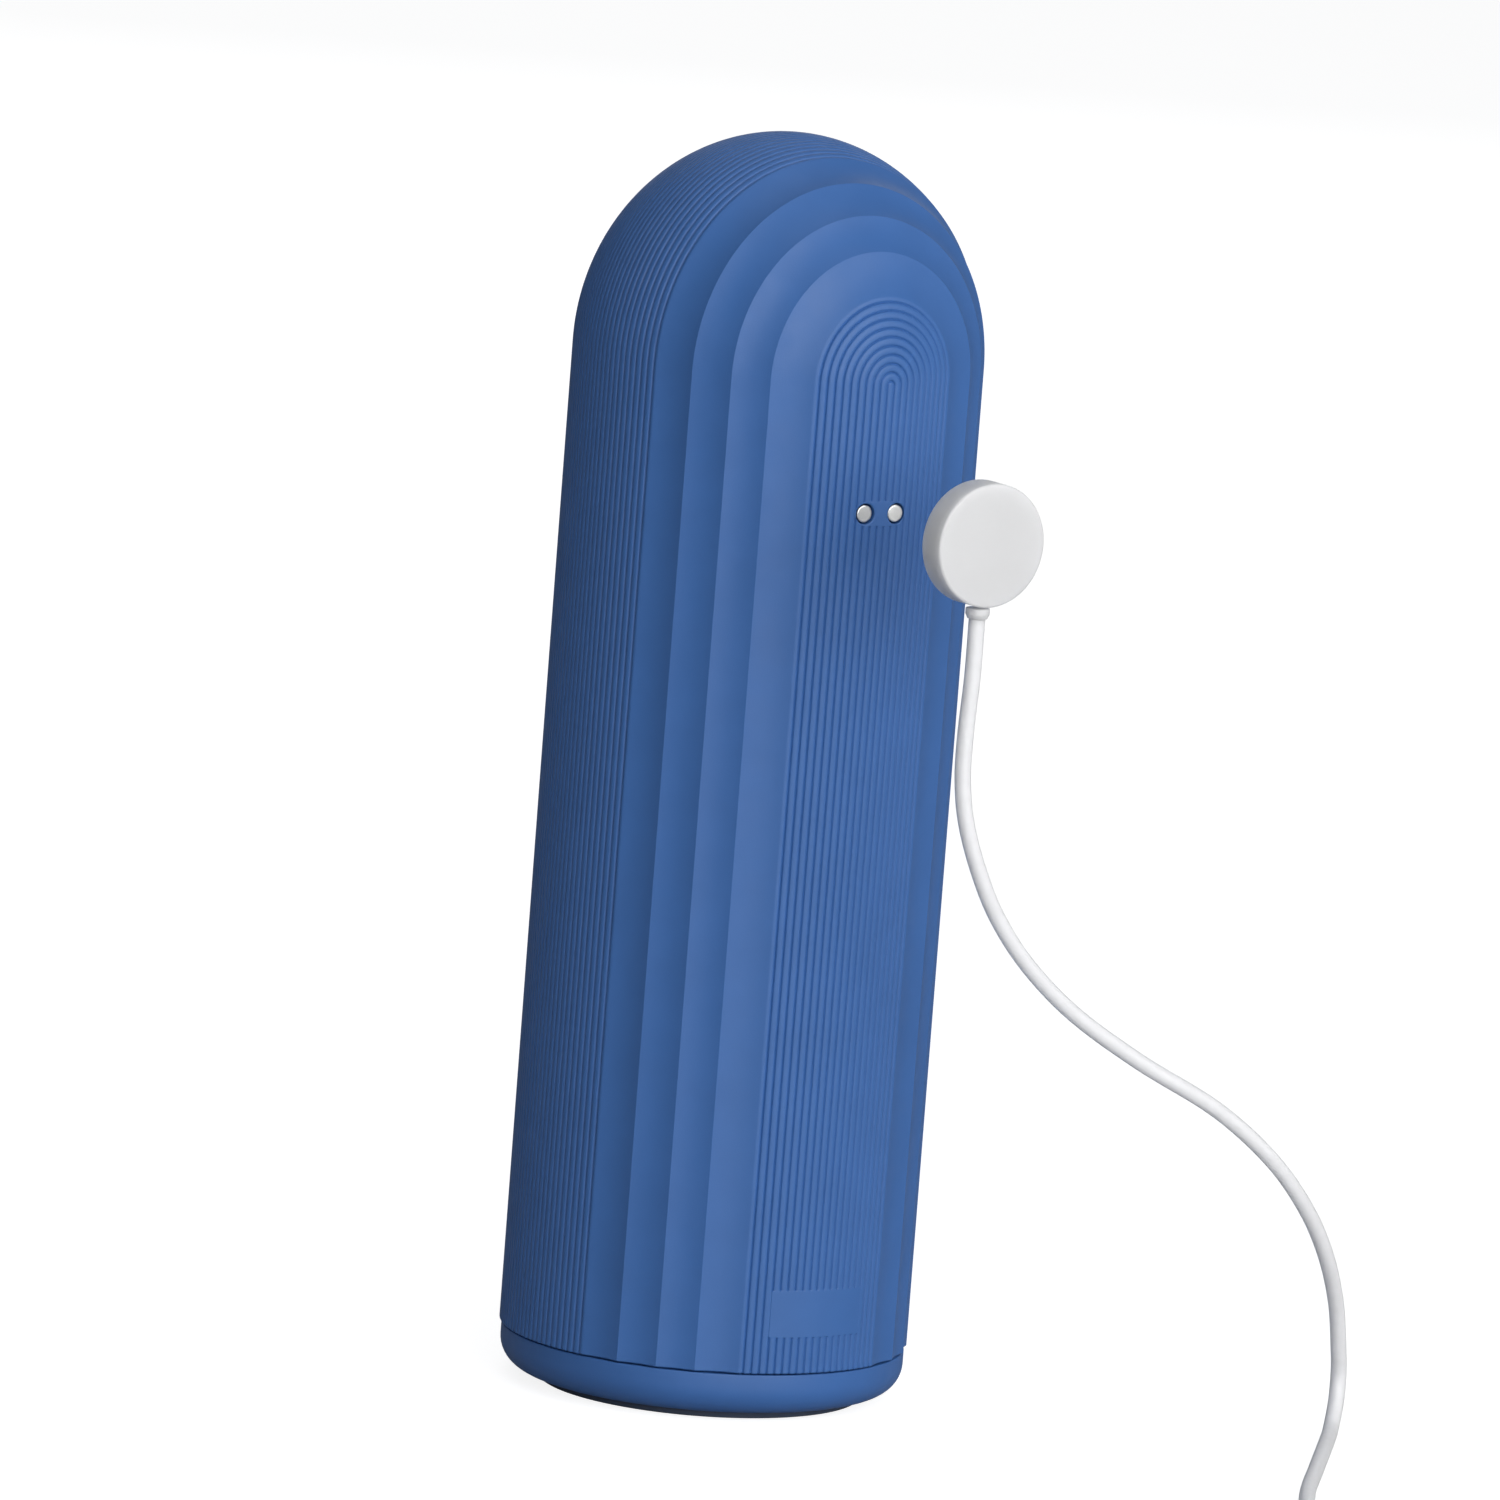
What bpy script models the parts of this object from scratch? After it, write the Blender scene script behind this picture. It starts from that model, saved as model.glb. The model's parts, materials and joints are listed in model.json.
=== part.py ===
"""Domed charging case with an electric toothbrush standing inside it and a magnetic charging puck.

The case stands on its foot at the origin, +Z up. Its relief panel and charging contacts face -Y, its button
faces +Y. The puck and its cord stand in front of the contacts, pulled off the case.
"""

from math import cos, pi, radians, sin, sqrt, tan

import bmesh
import bpy
from mathutils import Matrix, Vector

MM = 0.001
GAP = 0.3 * MM
MERGE = 0.00001

# Case: a cylinder with a slightly tall dome.
CASE_RADIUS = 35.2 * MM
CASE_WALL = 2.4 * MM
SEAM_Z = 9.0 * MM
DOME_Z = 179.6 * MM
DOME_RISE = 1.085
# Edges of the shallow flutes, in degrees round from the panel's centre line, and their slope at the edges.
FLUTES = ((22.7, 35.0), (35.0, 45.9), (45.9, 57.4), (57.4, 68.9), (128.0, 142.6), (142.6, 157.3))
FLUTE_SLOPE = radians(18.0)
PLAIN_ANGLES = (0.0, 11.0, 84.0, 100.0, 115.0, 168.0, 180.0)
ARCH_STEPS = 14

# Base.
BASE_RADIUS = 34.8 * MM
BASE_CORNER = 5.0 * MM
BASE_LOW = 1.5 * MM
CORNER_STEPS = 4
FOOT_RADIUS = 28.0 * MM
FOOT_HEIGHT = 1.6 * MM
FLOOR_TOP = 3.8 * MM
SPIGOT_OUT = 31.9 * MM
SPIGOT_IN = 29.9 * MM
SPIGOT_TOP = 18.0 * MM
SEAL_Z = 13.5 * MM

# The brush stands off the case's axis, towards the front.
BRUSH_Y = 7.0 * MM
FLANGE_TOP = 6.1 * MM
SCREW_CIRCLE = 19.0 * MM
SCREWS = 3

LINER_IN = 17.2 * MM
LINER_WALL = 1.4 * MM
LINER_FOOT = 23.0 * MM
LINER_ROOF = 199.0 * MM

CONTACT_Z = 157.7 * MM
CONTACT_X = 3.1 * MM
CONTACT_RADIUS = 1.5 * MM
CONTACT_FACE = CASE_RADIUS - 0.4 * MM
CELL_RADIUS = 7.2 * MM
CELL_Y = -19.8 * MM
BUTTON_Z = 150.0 * MM
BUTTON_RADIUS = 5.5 * MM
LIGHT_Z = 163.0 * MM
LIGHT_FACE = CASE_RADIUS - 0.4 * MM

HANDLE_FOOT = 11.1 * MM
HANDLE_TOP = 137.0 * MM
HANDLE_WALL = 1.6 * MM
BRUSH_BUTTON_Z = 84.0 * MM
SHAFT_RADIUS = 1.3 * MM
SHAFT_TOP = 146.0 * MM
HEAD_FOOT = HANDLE_TOP + GAP
HEAD_Z = 169.4 * MM

PUCK_RADIUS = 10.5 * MM
PUCK_DEPTH = 5.7 * MM
PUCK_CAVITY = 9.4 * MM
PUCK_GAP = 28.15 * MM
PUCK_REAR = -(CASE_RADIUS + PUCK_GAP)
PUCK_MIDDLE = PUCK_REAR - PUCK_DEPTH / 2
PIN_REACH = 0.6 * MM

# Cord: route points in millimetres, from the puck's collar through the air to the floor and on to the coil.
CORD_RADIUS = 1.4 * MM
CORD_ROUTE = (
    (0.0, -66.2, 144.9),
    (0.0, -66.2, 135.0),
    (-0.3, -66.0, 126.0),
    (-0.2, -66.0, 118.0),
    (1.0, -66.3, 110.4),
    (3.8, -67.0, 102.2),
    (8.1, -67.5, 94.0),
    (14.7, -68.2, 85.7),
    (24.0, -69.5, 77.4),
    (36.7, -71.6, 69.2),
    (51.5, -74.3, 61.0),
    (62.8, -75.5, 52.3),
    (72.0, -73.9, 43.2),
    (79.4, -70.7, 34.1),
    (85.9, -66.0, 24.4),
    (89.8, -62.6, 15.0),
    (91.3, -61.1, 10.4),
    (90.6, -62.0, 5.9),
    (88.3, -64.5, 2.6),
    (84.8, -68.7, 1.4),
    (79.0, -75.8, 1.4),
    (66.2, -91.4, 1.4),
    (53.4, -107.2, 1.4),
    (38.9, -127.7, 1.4),
    (27.4, -144.1, 1.8),
    (22.0, -151.9, 2.2),
)
CORD_STEPS = 2
TAIL_ROUTE = (
    (-22.4, -158.4, 4.5),
    (-26.6, -155.6, 4.2),
    (-31.2, -152.6, 3.8),
    (-35.4, -149.8, 3.7),
)
COIL_CENTRE = (-1.0 * MM, -150.0 * MM)
COIL_MIDDLE = 16.0 * MM
COIL_HALF_WIDTH = 5.6 * MM
COIL_FOOT = 0.9 * MM
COIL_TOP = 6.2 * MM
PLUG_HEADING = radians(146.5)
PLUG_START = Vector((-35.65, -149.65, 3.7)) * MM


def collection(name):
    made = bpy.data.collections.new(name)
    bpy.context.scene.collection.children.link(made)
    return made


def material(name, colour, roughness, metallic=0.0):
    made = bpy.data.materials.new(name)
    made.use_nodes = True
    shader = made.node_tree.nodes["Principled BSDF"]
    shader.inputs["Base Color"].default_value = (*colour, 1.0)
    shader.inputs["Roughness"].default_value = roughness
    shader.inputs["Metallic"].default_value = metallic
    return made


def add(name, mesh, look, place=(0, 0, 0), turn=(0, 0, 0)):
    """An object of the part with its own material: look is (colour, roughness, metallic)."""
    made = bpy.data.objects.new(name, mesh)
    made.location = place
    made.rotation_euler = turn
    mesh.materials.append(material(name, *look))
    PART.objects.link(made)
    return made


def smooth(mesh, angle=35):
    mesh.shade_smooth()
    mesh.set_sharp_from_angle(angle=radians(angle))


def mesh_of(name, shape):
    mesh = bpy.data.meshes.new(name)
    shape.to_mesh(mesh)
    shape.free()
    return mesh


def profile_mesh(name, points, closed):
    """Edges in the XZ plane for a Screw modifier; points run down the outer side."""
    mesh = bpy.data.meshes.new(name)
    count = len(points)
    edges = [(i, i + 1) for i in range(count - 1)]
    if closed:
        edges.append((count - 1, 0))
    mesh.from_pydata([(r, 0, z) for r, z in points], edges, [])
    return mesh


def turned(name, points, look, place=(0, 0, 0), turn=(0, 0, 0), steps=24, closed=False):
    """A turned piece: a profile of (radius, height) points with a Screw modifier."""
    made = add(name, profile_mesh(name, points, closed), look, place, turn)
    screw = made.modifiers.new("Screw", "SCREW")
    screw.steps = steps
    screw.render_steps = steps
    screw.use_merge_vertices = True
    screw.merge_threshold = MERGE
    screw.use_smooth_shade = True
    return made


def ring(name, inner, outer, low, high, look, place=(0, 0, 0), turn=(0, 0, 0), steps=24):
    corners = [(outer, high), (outer, low), (inner, low), (inner, high)]
    return turned(name, corners, look, place, turn, steps, closed=True)


def rod(name, radius, low, high, look, place=(0, 0, 0), turn=(0, 0, 0), steps=20, edge=0.0):
    """A solid round bar with its ends chamfered by edge."""
    points = [(0, high), (radius - edge, high)]
    if edge:
        points += [(radius, high - edge), (radius, low + edge)]
    points += [(radius - edge, low), (0, low)]
    return turned(name, points, look, place, turn, steps)


def box_mesh(name, size):
    shape = bmesh.new()
    bmesh.ops.create_cube(shape, size=1.0, matrix=Matrix.Diagonal((*size, 1.0)))
    return mesh_of(name, shape)


def box(name, low, high, look, bevel=0.0):
    """A block between two corners, with its edges rounded by bevel."""
    low = Vector(low)
    high = Vector(high)
    made = add(name, box_mesh(name, high - low), look, (low + high) / 2)
    if bevel:
        soften(made, bevel)
    return made


def soften(made, width, segments=2):
    bevel = made.modifiers.new("Bevel", "BEVEL")
    bevel.width = width
    bevel.segments = segments
    bevel.limit_method = "ANGLE"
    return bevel


def cutter(name, mesh, place=(0, 0, 0), turn=(0, 0, 0)):
    made = bpy.data.objects.new(name, mesh)
    made.location = place
    made.rotation_euler = turn
    made.hide_render = True
    made.display_type = "WIRE"
    CUTTERS.objects.link(made)
    return made


def bar_cutter(name, radius, length, place, turn=(0, 0, 0), sides=20):
    """A round bar centred on place, along its own Z."""
    shape = bmesh.new()
    bmesh.ops.create_cone(
        shape, cap_ends=True, segments=sides, radius1=radius, radius2=radius, depth=length
    )
    return cutter(name, mesh_of(name, shape), place, turn)


def boolean(made, tool, operation="DIFFERENCE"):
    step = made.modifiers.new(tool.name, "BOOLEAN")
    step.operation = operation
    step.object = tool


def axis_empty(name, place, children, parent=None):
    """An empty on a joint's axis that carries the moving pieces."""
    made = bpy.data.objects.new(name, None)
    made.empty_display_size = 0.01
    made.location = place
    PART.objects.link(made)
    bpy.context.view_layer.update()
    for child in children:
        child.parent = made
        child.matrix_parent_inverse = made.matrix_world.inverted()
    if parent is not None:
        made.parent = parent
        made.matrix_parent_inverse = parent.matrix_world.inverted()
    return made


def catmull_rom(points, steps):
    """Points along a smooth curve through the given ones."""
    ends = [points[0] * 2 - points[1], *points, points[-1] * 2 - points[-2]]
    line = []
    for a, b, c, d in zip(ends, ends[1:], ends[2:], ends[3:]):
        for i in range(steps):
            t = i / steps
            line.append(
                (b * 2 + (c - a) * t + (a * 2 - b * 5 + c * 4 - d) * t**2 + (b * 3 - a - c * 3 + d) * t**3)
                / 2
            )
    return [*line, points[-1]]


def tube(name, points, radius, look):
    """A cord along the points, never sunk below the floor."""
    curve = bpy.data.curves.new(name, "CURVE")
    curve.dimensions = "3D"
    curve.bevel_depth = radius
    curve.bevel_resolution = 2
    curve.use_fill_caps = True
    spline = curve.splines.new("POLY")
    spline.points.add(len(points) - 1)
    for knot, point in zip(spline.points, points):
        knot.co = (point.x, point.y, max(point.z, radius), 1.0)
    return add(name, curve, look)


BLUE = ((0.062, 0.147, 0.403), 0.5)
DARK_BLUE = ((0.045, 0.105, 0.3), 0.55)
GREY_RUBBER = ((0.09, 0.1, 0.12), 0.7)
BLACK_RUBBER = ((0.02, 0.02, 0.022), 0.65)
WHITE = ((0.75, 0.75, 0.76), 0.4)
CORD_WHITE = ((0.76, 0.76, 0.78), 0.45)
NATURAL = ((0.6, 0.6, 0.58), 0.5)
STEEL = ((0.62, 0.62, 0.63), 0.3, 1.0)
NICKEL = ((0.75, 0.74, 0.72), 0.2, 1.0)
GOLD = ((0.83, 0.63, 0.3), 0.25, 1.0)
COPPER = ((0.72, 0.36, 0.2), 0.35, 1.0)
BOARD = ((0.03, 0.2, 0.09), 0.5)
CHIP = ((0.025, 0.025, 0.028), 0.5)
FERRITE = ((0.06, 0.06, 0.065), 0.6)
CELL = ((0.1, 0.3, 0.16), 0.4)
GLASS = ((0.7, 0.78, 0.85), 0.1)
FACING_BACK = (pi / 2, 0, 0)
FACING_FRONT = (-pi / 2, 0, 0)


def flute_depth(angle):
    """Depth of the relief below the full radius: each flute is a shallow arc between two crisp edges."""
    for start, end in FLUTES:
        along = (angle - start) / (end - start)
        if 0 < along < 1:
            width = CASE_RADIUS * radians(end - start)
            return width * tan(FLUTE_SLOPE) * along * (1 - along)
    return 0.0


def arch_angles():
    """Angles of the case's mesh lines: each flute's two edges and two lines between them."""
    angles = set(PLAIN_ANGLES)
    for start, end in FLUTES:
        angles |= {start, end, start + (end - start) / 3, start + (end - start) * 2 / 3}
    return sorted(angles)


def arch_line(radius, angle, foot):
    """One arch over the case: up the left side, round the dome and down the right side."""
    reach = radius * sin(radians(angle))
    y = -radius * cos(radians(angle))
    line = [Vector((-reach, y, foot))]
    for i in range(ARCH_STEPS + 1):
        turn = pi - pi * i / ARCH_STEPS
        line.append(Vector((reach * cos(turn), y, DOME_Z + DOME_RISE * reach * sin(turn))))
    line.append(Vector((reach, y, foot)))
    return line


def case_shell():
    """The outer shell: a relief skin and a plain inner skin, joined round the open foot."""
    shape = bmesh.new()
    foot = SEAM_Z + GAP
    skins = []
    for radius, relief in ((CASE_RADIUS, 1), (CASE_RADIUS - CASE_WALL, 0)):
        skin = []
        for angle in arch_angles():
            line = arch_line(radius - relief * flute_depth(angle), angle, foot)
            skin.append([shape.verts.new(point) for point in line])
        for left, right in zip(skin, skin[1:]):
            for a, b, c, d in zip(left, right, right[1:], left[1:]):
                shape.faces.new((a, b, c, d))
        skins.append(skin)
    outer, inner = skins
    for end in (0, -1):
        for i in range(len(outer) - 1):
            shape.faces.new((outer[i][end], outer[i + 1][end], inner[i + 1][end], inner[i][end]))
    bmesh.ops.remove_doubles(shape, verts=shape.verts, dist=MERGE)
    bmesh.ops.recalc_face_normals(shape, faces=shape.faces)
    mesh = mesh_of("outer_shell", shape)
    smooth(mesh, 25)
    shell = add("outer_shell", mesh, BLUE)
    for side in (-1, 1):
        hole = (side * CONTACT_X, -CASE_RADIUS, CONTACT_Z)
        boolean(shell, bar_cutter(f"contact_hole_{side}", CONTACT_RADIUS + GAP, 12 * MM, hole, FACING_BACK))
    front = (0, CASE_RADIUS, BUTTON_Z)
    boolean(shell, bar_cutter("button_hole", BUTTON_RADIUS + GAP, 12 * MM, front, FACING_BACK, 24))
    light = (0, CASE_RADIUS, LIGHT_Z)
    boolean(shell, bar_cutter("light_hole", 1.2 * MM, 12 * MM, light, FACING_BACK))
    return [shell]


def liner():
    """The tube that the brush stands in, and the bulkhead that closes the electronics space below."""
    roof = LINER_ROOF + LINER_WALL
    outer = LINER_IN + LINER_WALL
    place = (0, BRUSH_Y, 0)
    sleeve = ring("inner_liner", LINER_IN, outer, LINER_FOOT, roof, NATURAL, place, steps=32)
    reach = CASE_RADIUS - CASE_WALL - 0.4 * MM
    bulkhead = rod("bulkhead", reach, LINER_FOOT, LINER_FOOT + 2 * MM, NATURAL, steps=40)
    boolean(bulkhead, bar_cutter("bulkhead_bore", outer + GAP, 8 * MM, (0, BRUSH_Y, LINER_FOOT), sides=32))
    return [sleeve, bulkhead]


def lamp():
    """The ultraviolet lamp over the liner: the window that closes the tube, the diode and its board."""
    place = (0, BRUSH_Y, 0)
    window = rod("uv_window", LINER_IN - GAP, LINER_ROOF, LINER_ROOF + LINER_WALL, GLASS, place, steps=32)
    board = rod("uv_board", 9 * MM, 204.4 * MM, 205.6 * MM, BOARD, place)
    half = 2.5 * MM
    diode = box(
        "uv_diode",
        (-half, BRUSH_Y - half, 202.6 * MM),
        (half, BRUSH_Y + half, 204.1 * MM),
        NATURAL,
        0.3 * MM,
    )
    return [window, board, diode]


def charging_contacts():
    """Two metal contacts in the shell and the carrier that holds them."""
    made = [
        box(
            "contact_carrier",
            (-6.5 * MM, -31.3 * MM, CONTACT_Z - 4.5 * MM),
            (6.5 * MM, -27.5 * MM, CONTACT_Z + 4.5 * MM),
            GREY_RUBBER,
            0.5 * MM,
        )
    ]
    for side, word in ((-1, "left"), (1, "right")):
        place = (side * CONTACT_X, 0, CONTACT_Z)
        made.append(
            rod(
                f"charge_contact_{word}",
                CONTACT_RADIUS,
                31.7 * MM,
                CONTACT_FACE,
                NICKEL,
                place,
                FACING_BACK,
                edge=0.25 * MM,
            )
        )
    return made


def case_electronics():
    """The rechargeable cell, its two clips, the main board and its controller."""
    place = (0, CELL_Y, 0)
    cell = rod("battery_cell", CELL_RADIUS, 60 * MM, 125 * MM, CELL, place, edge=0.6 * MM)
    board = box("main_board", (-9 * MM, -30.3 * MM, 45 * MM), (9 * MM, -29.1 * MM, 150 * MM), BOARD)
    chip = box(
        "control_chip", (-3.5 * MM, -28.8 * MM, 131 * MM), (3.5 * MM, -27.8 * MM, 138 * MM), CHIP, 0.15 * MM
    )
    made = [cell, board, chip]
    for word, low in (("lower", 68 * MM), ("upper", 112 * MM)):
        inner = CELL_RADIUS + GAP
        clip = ring(f"battery_clip_{word}", inner, inner + 1.1 * MM, low, low + 5 * MM, GREY_RUBBER, place)
        mouth = cutter(
            f"clip_mouth_{word}",
            box_mesh("clip_mouth", (24 * MM, 12 * MM, 12 * MM)),
            (0, CELL_Y + 8 * MM, low + 2.5 * MM),
        )
        boolean(clip, mouth)
        made.append(clip)
    return made


def front_controls():
    """The case's sprung button, its switch and board, and the status light above it."""
    board = box("button_board", (-6 * MM, 26.0 * MM, 142 * MM), (6 * MM, 27.0 * MM, 168 * MM), BOARD)
    switch = box(
        "button_switch",
        (-3 * MM, 27.3 * MM, BUTTON_Z - 3 * MM),
        (3 * MM, 29.3 * MM, BUTTON_Z + 3 * MM),
        CHIP,
        0.3 * MM,
    )
    light = rod(
        "status_light", 0.9 * MM, 27.4 * MM, LIGHT_FACE, GLASS, (0, 0, LIGHT_Z), FACING_FRONT, 16, 0.15 * MM
    )
    face = CASE_RADIUS - 0.2 * MM
    points = [(0, face), (BUTTON_RADIUS - 0.6 * MM, face), (BUTTON_RADIUS, face - 0.6 * MM)]
    points += [(BUTTON_RADIUS, 31.0 * MM), (7 * MM, 31.0 * MM), (7 * MM, 30.0 * MM), (0, 30.0 * MM)]
    button = turned("case_button", points, DARK_BLUE, (0, 0, BUTTON_Z), FACING_FRONT)
    return [board, switch, light], [button]


def transfer_contacts():
    """Spring pins on the base's rim, and the shell's pads above them that bring power down to the base."""
    pads = []
    reach = (SPIGOT_OUT + SPIGOT_IN) / 2
    for side, word in ((-1, "left"), (1, "right")):
        x = side * 4 * MM
        place = (x, -sqrt(reach**2 - x**2), 0)
        low = SPIGOT_TOP + GAP
        rod(f"transfer_pin_{word}", 0.7 * MM, low, low + 1.4 * MM, GOLD, place, steps=16, edge=0.1 * MM)
        high = LINER_FOOT - GAP
        pads.append(rod(f"transfer_pad_{word}", 1.2 * MM, high - 2.4 * MM, high, GOLD, place, steps=16))
    return pads


def base_cap():
    """The base: a floor with a rounded lower edge and the spigot that goes up inside the shell."""
    centre = BASE_RADIUS - BASE_CORNER
    points = [(0, FLOOR_TOP), (SPIGOT_IN, FLOOR_TOP), (SPIGOT_IN, SPIGOT_TOP), (SPIGOT_OUT, SPIGOT_TOP)]
    groove = SPIGOT_OUT - 1 * MM
    points += [(SPIGOT_OUT, SEAL_Z + 1 * MM), (groove, SEAL_Z + 1 * MM)]
    points += [(groove, SEAL_Z - 1 * MM), (SPIGOT_OUT, SEAL_Z - 1 * MM)]
    points += [(SPIGOT_OUT, SEAM_Z), (BASE_RADIUS, SEAM_Z)]
    for i in range(CORNER_STEPS + 1):
        turn = pi / 2 * i / CORNER_STEPS
        points.append((centre + BASE_CORNER * cos(turn), BASE_LOW + BASE_CORNER * (1 - sin(turn))))
    recess = FOOT_RADIUS + GAP
    points += [(recess, BASE_LOW), (recess, FOOT_HEIGHT + GAP), (0, FOOT_HEIGHT + GAP)]
    made = turned("base_cap", points, BLUE, steps=40)
    for i, (x, y) in enumerate(screw_places()):
        boolean(made, bar_cutter(f"base_screw_hole_{i}", 1.2 * MM, 8 * MM, (x, y, 6.2 * MM), sides=16))
    return made


def screw_places():
    """Where the cradle's screws stand, round the brush's axis."""
    for i in range(SCREWS):
        turn = radians(90 + 360 / SCREWS * i)
        yield SCREW_CIRCLE * cos(turn), BRUSH_Y + SCREW_CIRCLE * sin(turn)


def cradle():
    """The cup and charging peg that the brush stands on, with its screws."""
    points = [(0, 17.5), (2.6, 17.5), (3.2, 16.9), (3.2, 10.7), (14.2, 10.7), (14.2, 20.6), (14.6, 21.0)]
    points += [(15.6, 21.0), (16.0, 20.6), (16.0, 6.1), (22.0, 6.1), (22.0, 4.1), (12.4, 4.1)]
    points += [(12.4, 9.1), (2.0, 9.1), (2.0, 16.0), (0, 16.0)]
    profile = [(r * MM, z * MM) for r, z in points]
    made = [turned("cradle", profile, WHITE, (0, BRUSH_Y, 0), steps=28)]
    for i, (x, y) in enumerate(screw_places()):
        boolean(made[0], bar_cutter(f"cradle_screw_hole_{i}", 1.2 * MM, 8 * MM, (x, y, 5 * MM), sides=16))
        head = FLANGE_TOP + GAP
        screw = [(0, head + 1.3 * MM), (1.7 * MM, head + 1.3 * MM), (2.0 * MM, head + 1 * MM)]
        screw += [(2.0 * MM, head), (0.9 * MM, head), (0.9 * MM, 2.8 * MM), (0, 2.5 * MM)]
        made.append(turned(f"cradle_screw_{i + 1}", screw, STEEL, (x, y, 0), steps=16))
    return made


def base_pieces():
    """Foot, seal and the charging coil with its ferrite and board."""
    foot = [(0, FOOT_HEIGHT), (FOOT_RADIUS, FOOT_HEIGHT), (FOOT_RADIUS, 0.5 * MM)]
    foot += [(FOOT_RADIUS - 0.5 * MM, 0), (0, 0)]
    seal = []
    for i in range(6):
        turn = pi / 2 - 2 * pi * i / 6
        seal.append((31.85 * MM + 0.65 * MM * cos(turn), SEAL_Z + 0.65 * MM * sin(turn)))
    place = (0, BRUSH_Y, 0)
    return [
        turned("foot_pad", foot, GREY_RUBBER, steps=40),
        turned("seal_ring", seal, BLACK_RUBBER, steps=36, closed=True),
        ring("base_board", 2.3 * MM, 12 * MM, 4.3 * MM, 5.3 * MM, BOARD, place),
        ring("charge_coil", 4 * MM, 10.5 * MM, 5.7 * MM, 8.7 * MM, COPPER, place),
        rod("ferrite_rod", 1.6 * MM, 4.3 * MM, 15.6 * MM, FERRITE, place, steps=16),
    ]


def handle_outline():
    """Outer line of the brush's handle, from its top down, as (radius, height)."""
    line = ((5.2, 137.0), (6.2, 135.0), (7.7, 130.0), (10.3, 118.0), (11.5, 107.0), (12.5, 94.0))
    line += ((13.3, 76.0), (13.7, 50.0), (13.6, 24.0), (13.3, 13.0))
    return [(r * MM, z * MM) for r, z in line]


def handle():
    """The handle's hollow body and the end cap with the socket for the peg."""
    place = (0, BRUSH_Y, 0)
    bore = 3.4 * MM
    outline = handle_outline()
    inside = [(r - HANDLE_WALL, z) for r, z in reversed(outline) if 13 * MM <= z < 128 * MM]
    inside += [(6.0 * MM, 128 * MM), (bore, 130 * MM), (bore, HANDLE_TOP)]
    body = turned("handle_shell", outline + inside, WHITE, place, steps=28, closed=True)
    hole = (0, BRUSH_Y + 12 * MM, BRUSH_BUTTON_Z)
    boolean(body, bar_cutter("brush_button_hole", 3.9 * MM, 8 * MM, hole, FACING_FRONT, 24))
    cap = [(0, 19.6), (4.4, 19.6), (4.8, 19.2), (4.8, 15.5), (11.2, 15.5), (11.2, 12.7), (13.3, 12.7)]
    cap += [(13.3, 11.9), (12.5, 11.1), (3.7, 11.1), (3.7, 18.2), (0, 18.2)]
    profile = [(r * MM, z * MM) for r, z in cap]
    return [body, turned("handle_end_cap", profile, GREY_RUBBER, place, steps=28)]


def brush_inside():
    """What the handle holds: pick-up coil, cell, board, switch, motor, shaft bearing and shaft seal."""
    place = (0, BRUSH_Y, 0)
    motor = [(0, 103.0), (3.0, 103.0), (3.0, 101.5), (7.0, 101.5), (7.0, 73.0), (0, 73.0)]
    profile = [(r * MM, z * MM) for r, z in motor]
    bush = SHAFT_RADIUS + GAP
    return [
        ring("pickup_coil", 5.1 * MM, 9 * MM, 15.9 * MM, 19.3 * MM, COPPER, place),
        rod("brush_cell", 7 * MM, 21 * MM, 71 * MM, CELL, place, edge=0.6 * MM),
        box("brush_board", (-5 * MM, 14.4 * MM, 24 * MM), (5 * MM, 15.6 * MM, 96 * MM), BOARD),
        box("brush_switch", (-2 * MM, 15.9 * MM, 82 * MM), (2 * MM, 16.6 * MM, 86 * MM), CHIP),
        turned("drive_motor", profile, STEEL, place),
        ring("shaft_bearing", bush, 9.1 * MM, 107 * MM, 109 * MM, NATURAL, place),
        ring("shaft_seal", bush, 3.1 * MM, 131 * MM, 135.5 * MM, BLACK_RUBBER, place, steps=20),
    ]


def brush_button():
    place = (0, BRUSH_Y, BRUSH_BUTTON_Z)
    face = 13.3 * MM
    return [rod("brush_button", 3.6 * MM, 10.2 * MM, face, DARK_BLUE, place, FACING_FRONT, edge=0.5 * MM)]


def drive_shaft():
    place = (0, BRUSH_Y, 0)
    low = 103.4 * MM
    return [rod("drive_shaft", SHAFT_RADIUS, low, SHAFT_TOP, STEEL, place, steps=20, edge=0.25 * MM)]


def head_plate(name, half_width, half_height, depth, place, edge):
    """An upright oval plate facing the front."""
    shape = bmesh.new()
    bmesh.ops.create_cone(
        shape, cap_ends=True, segments=20, radius1=half_width, radius2=half_width, depth=depth
    )
    bmesh.ops.transform(shape, matrix=Matrix.Rotation(pi / 2, 4, "X"), verts=shape.verts)
    stretch = Matrix.Diagonal((1.0, 1.0, half_height / half_width, 1.0))
    bmesh.ops.transform(shape, matrix=stretch, verts=shape.verts)
    rims = [e for e in shape.edges if e.calc_face_angle(0) > 1]
    bmesh.ops.bevel(shape, geom=rims, offset=edge, segments=2, affect="EDGES", profile=0.5)
    bmesh.ops.translate(shape, vec=place, verts=shape.verts)
    return mesh_of(name, shape)


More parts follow.
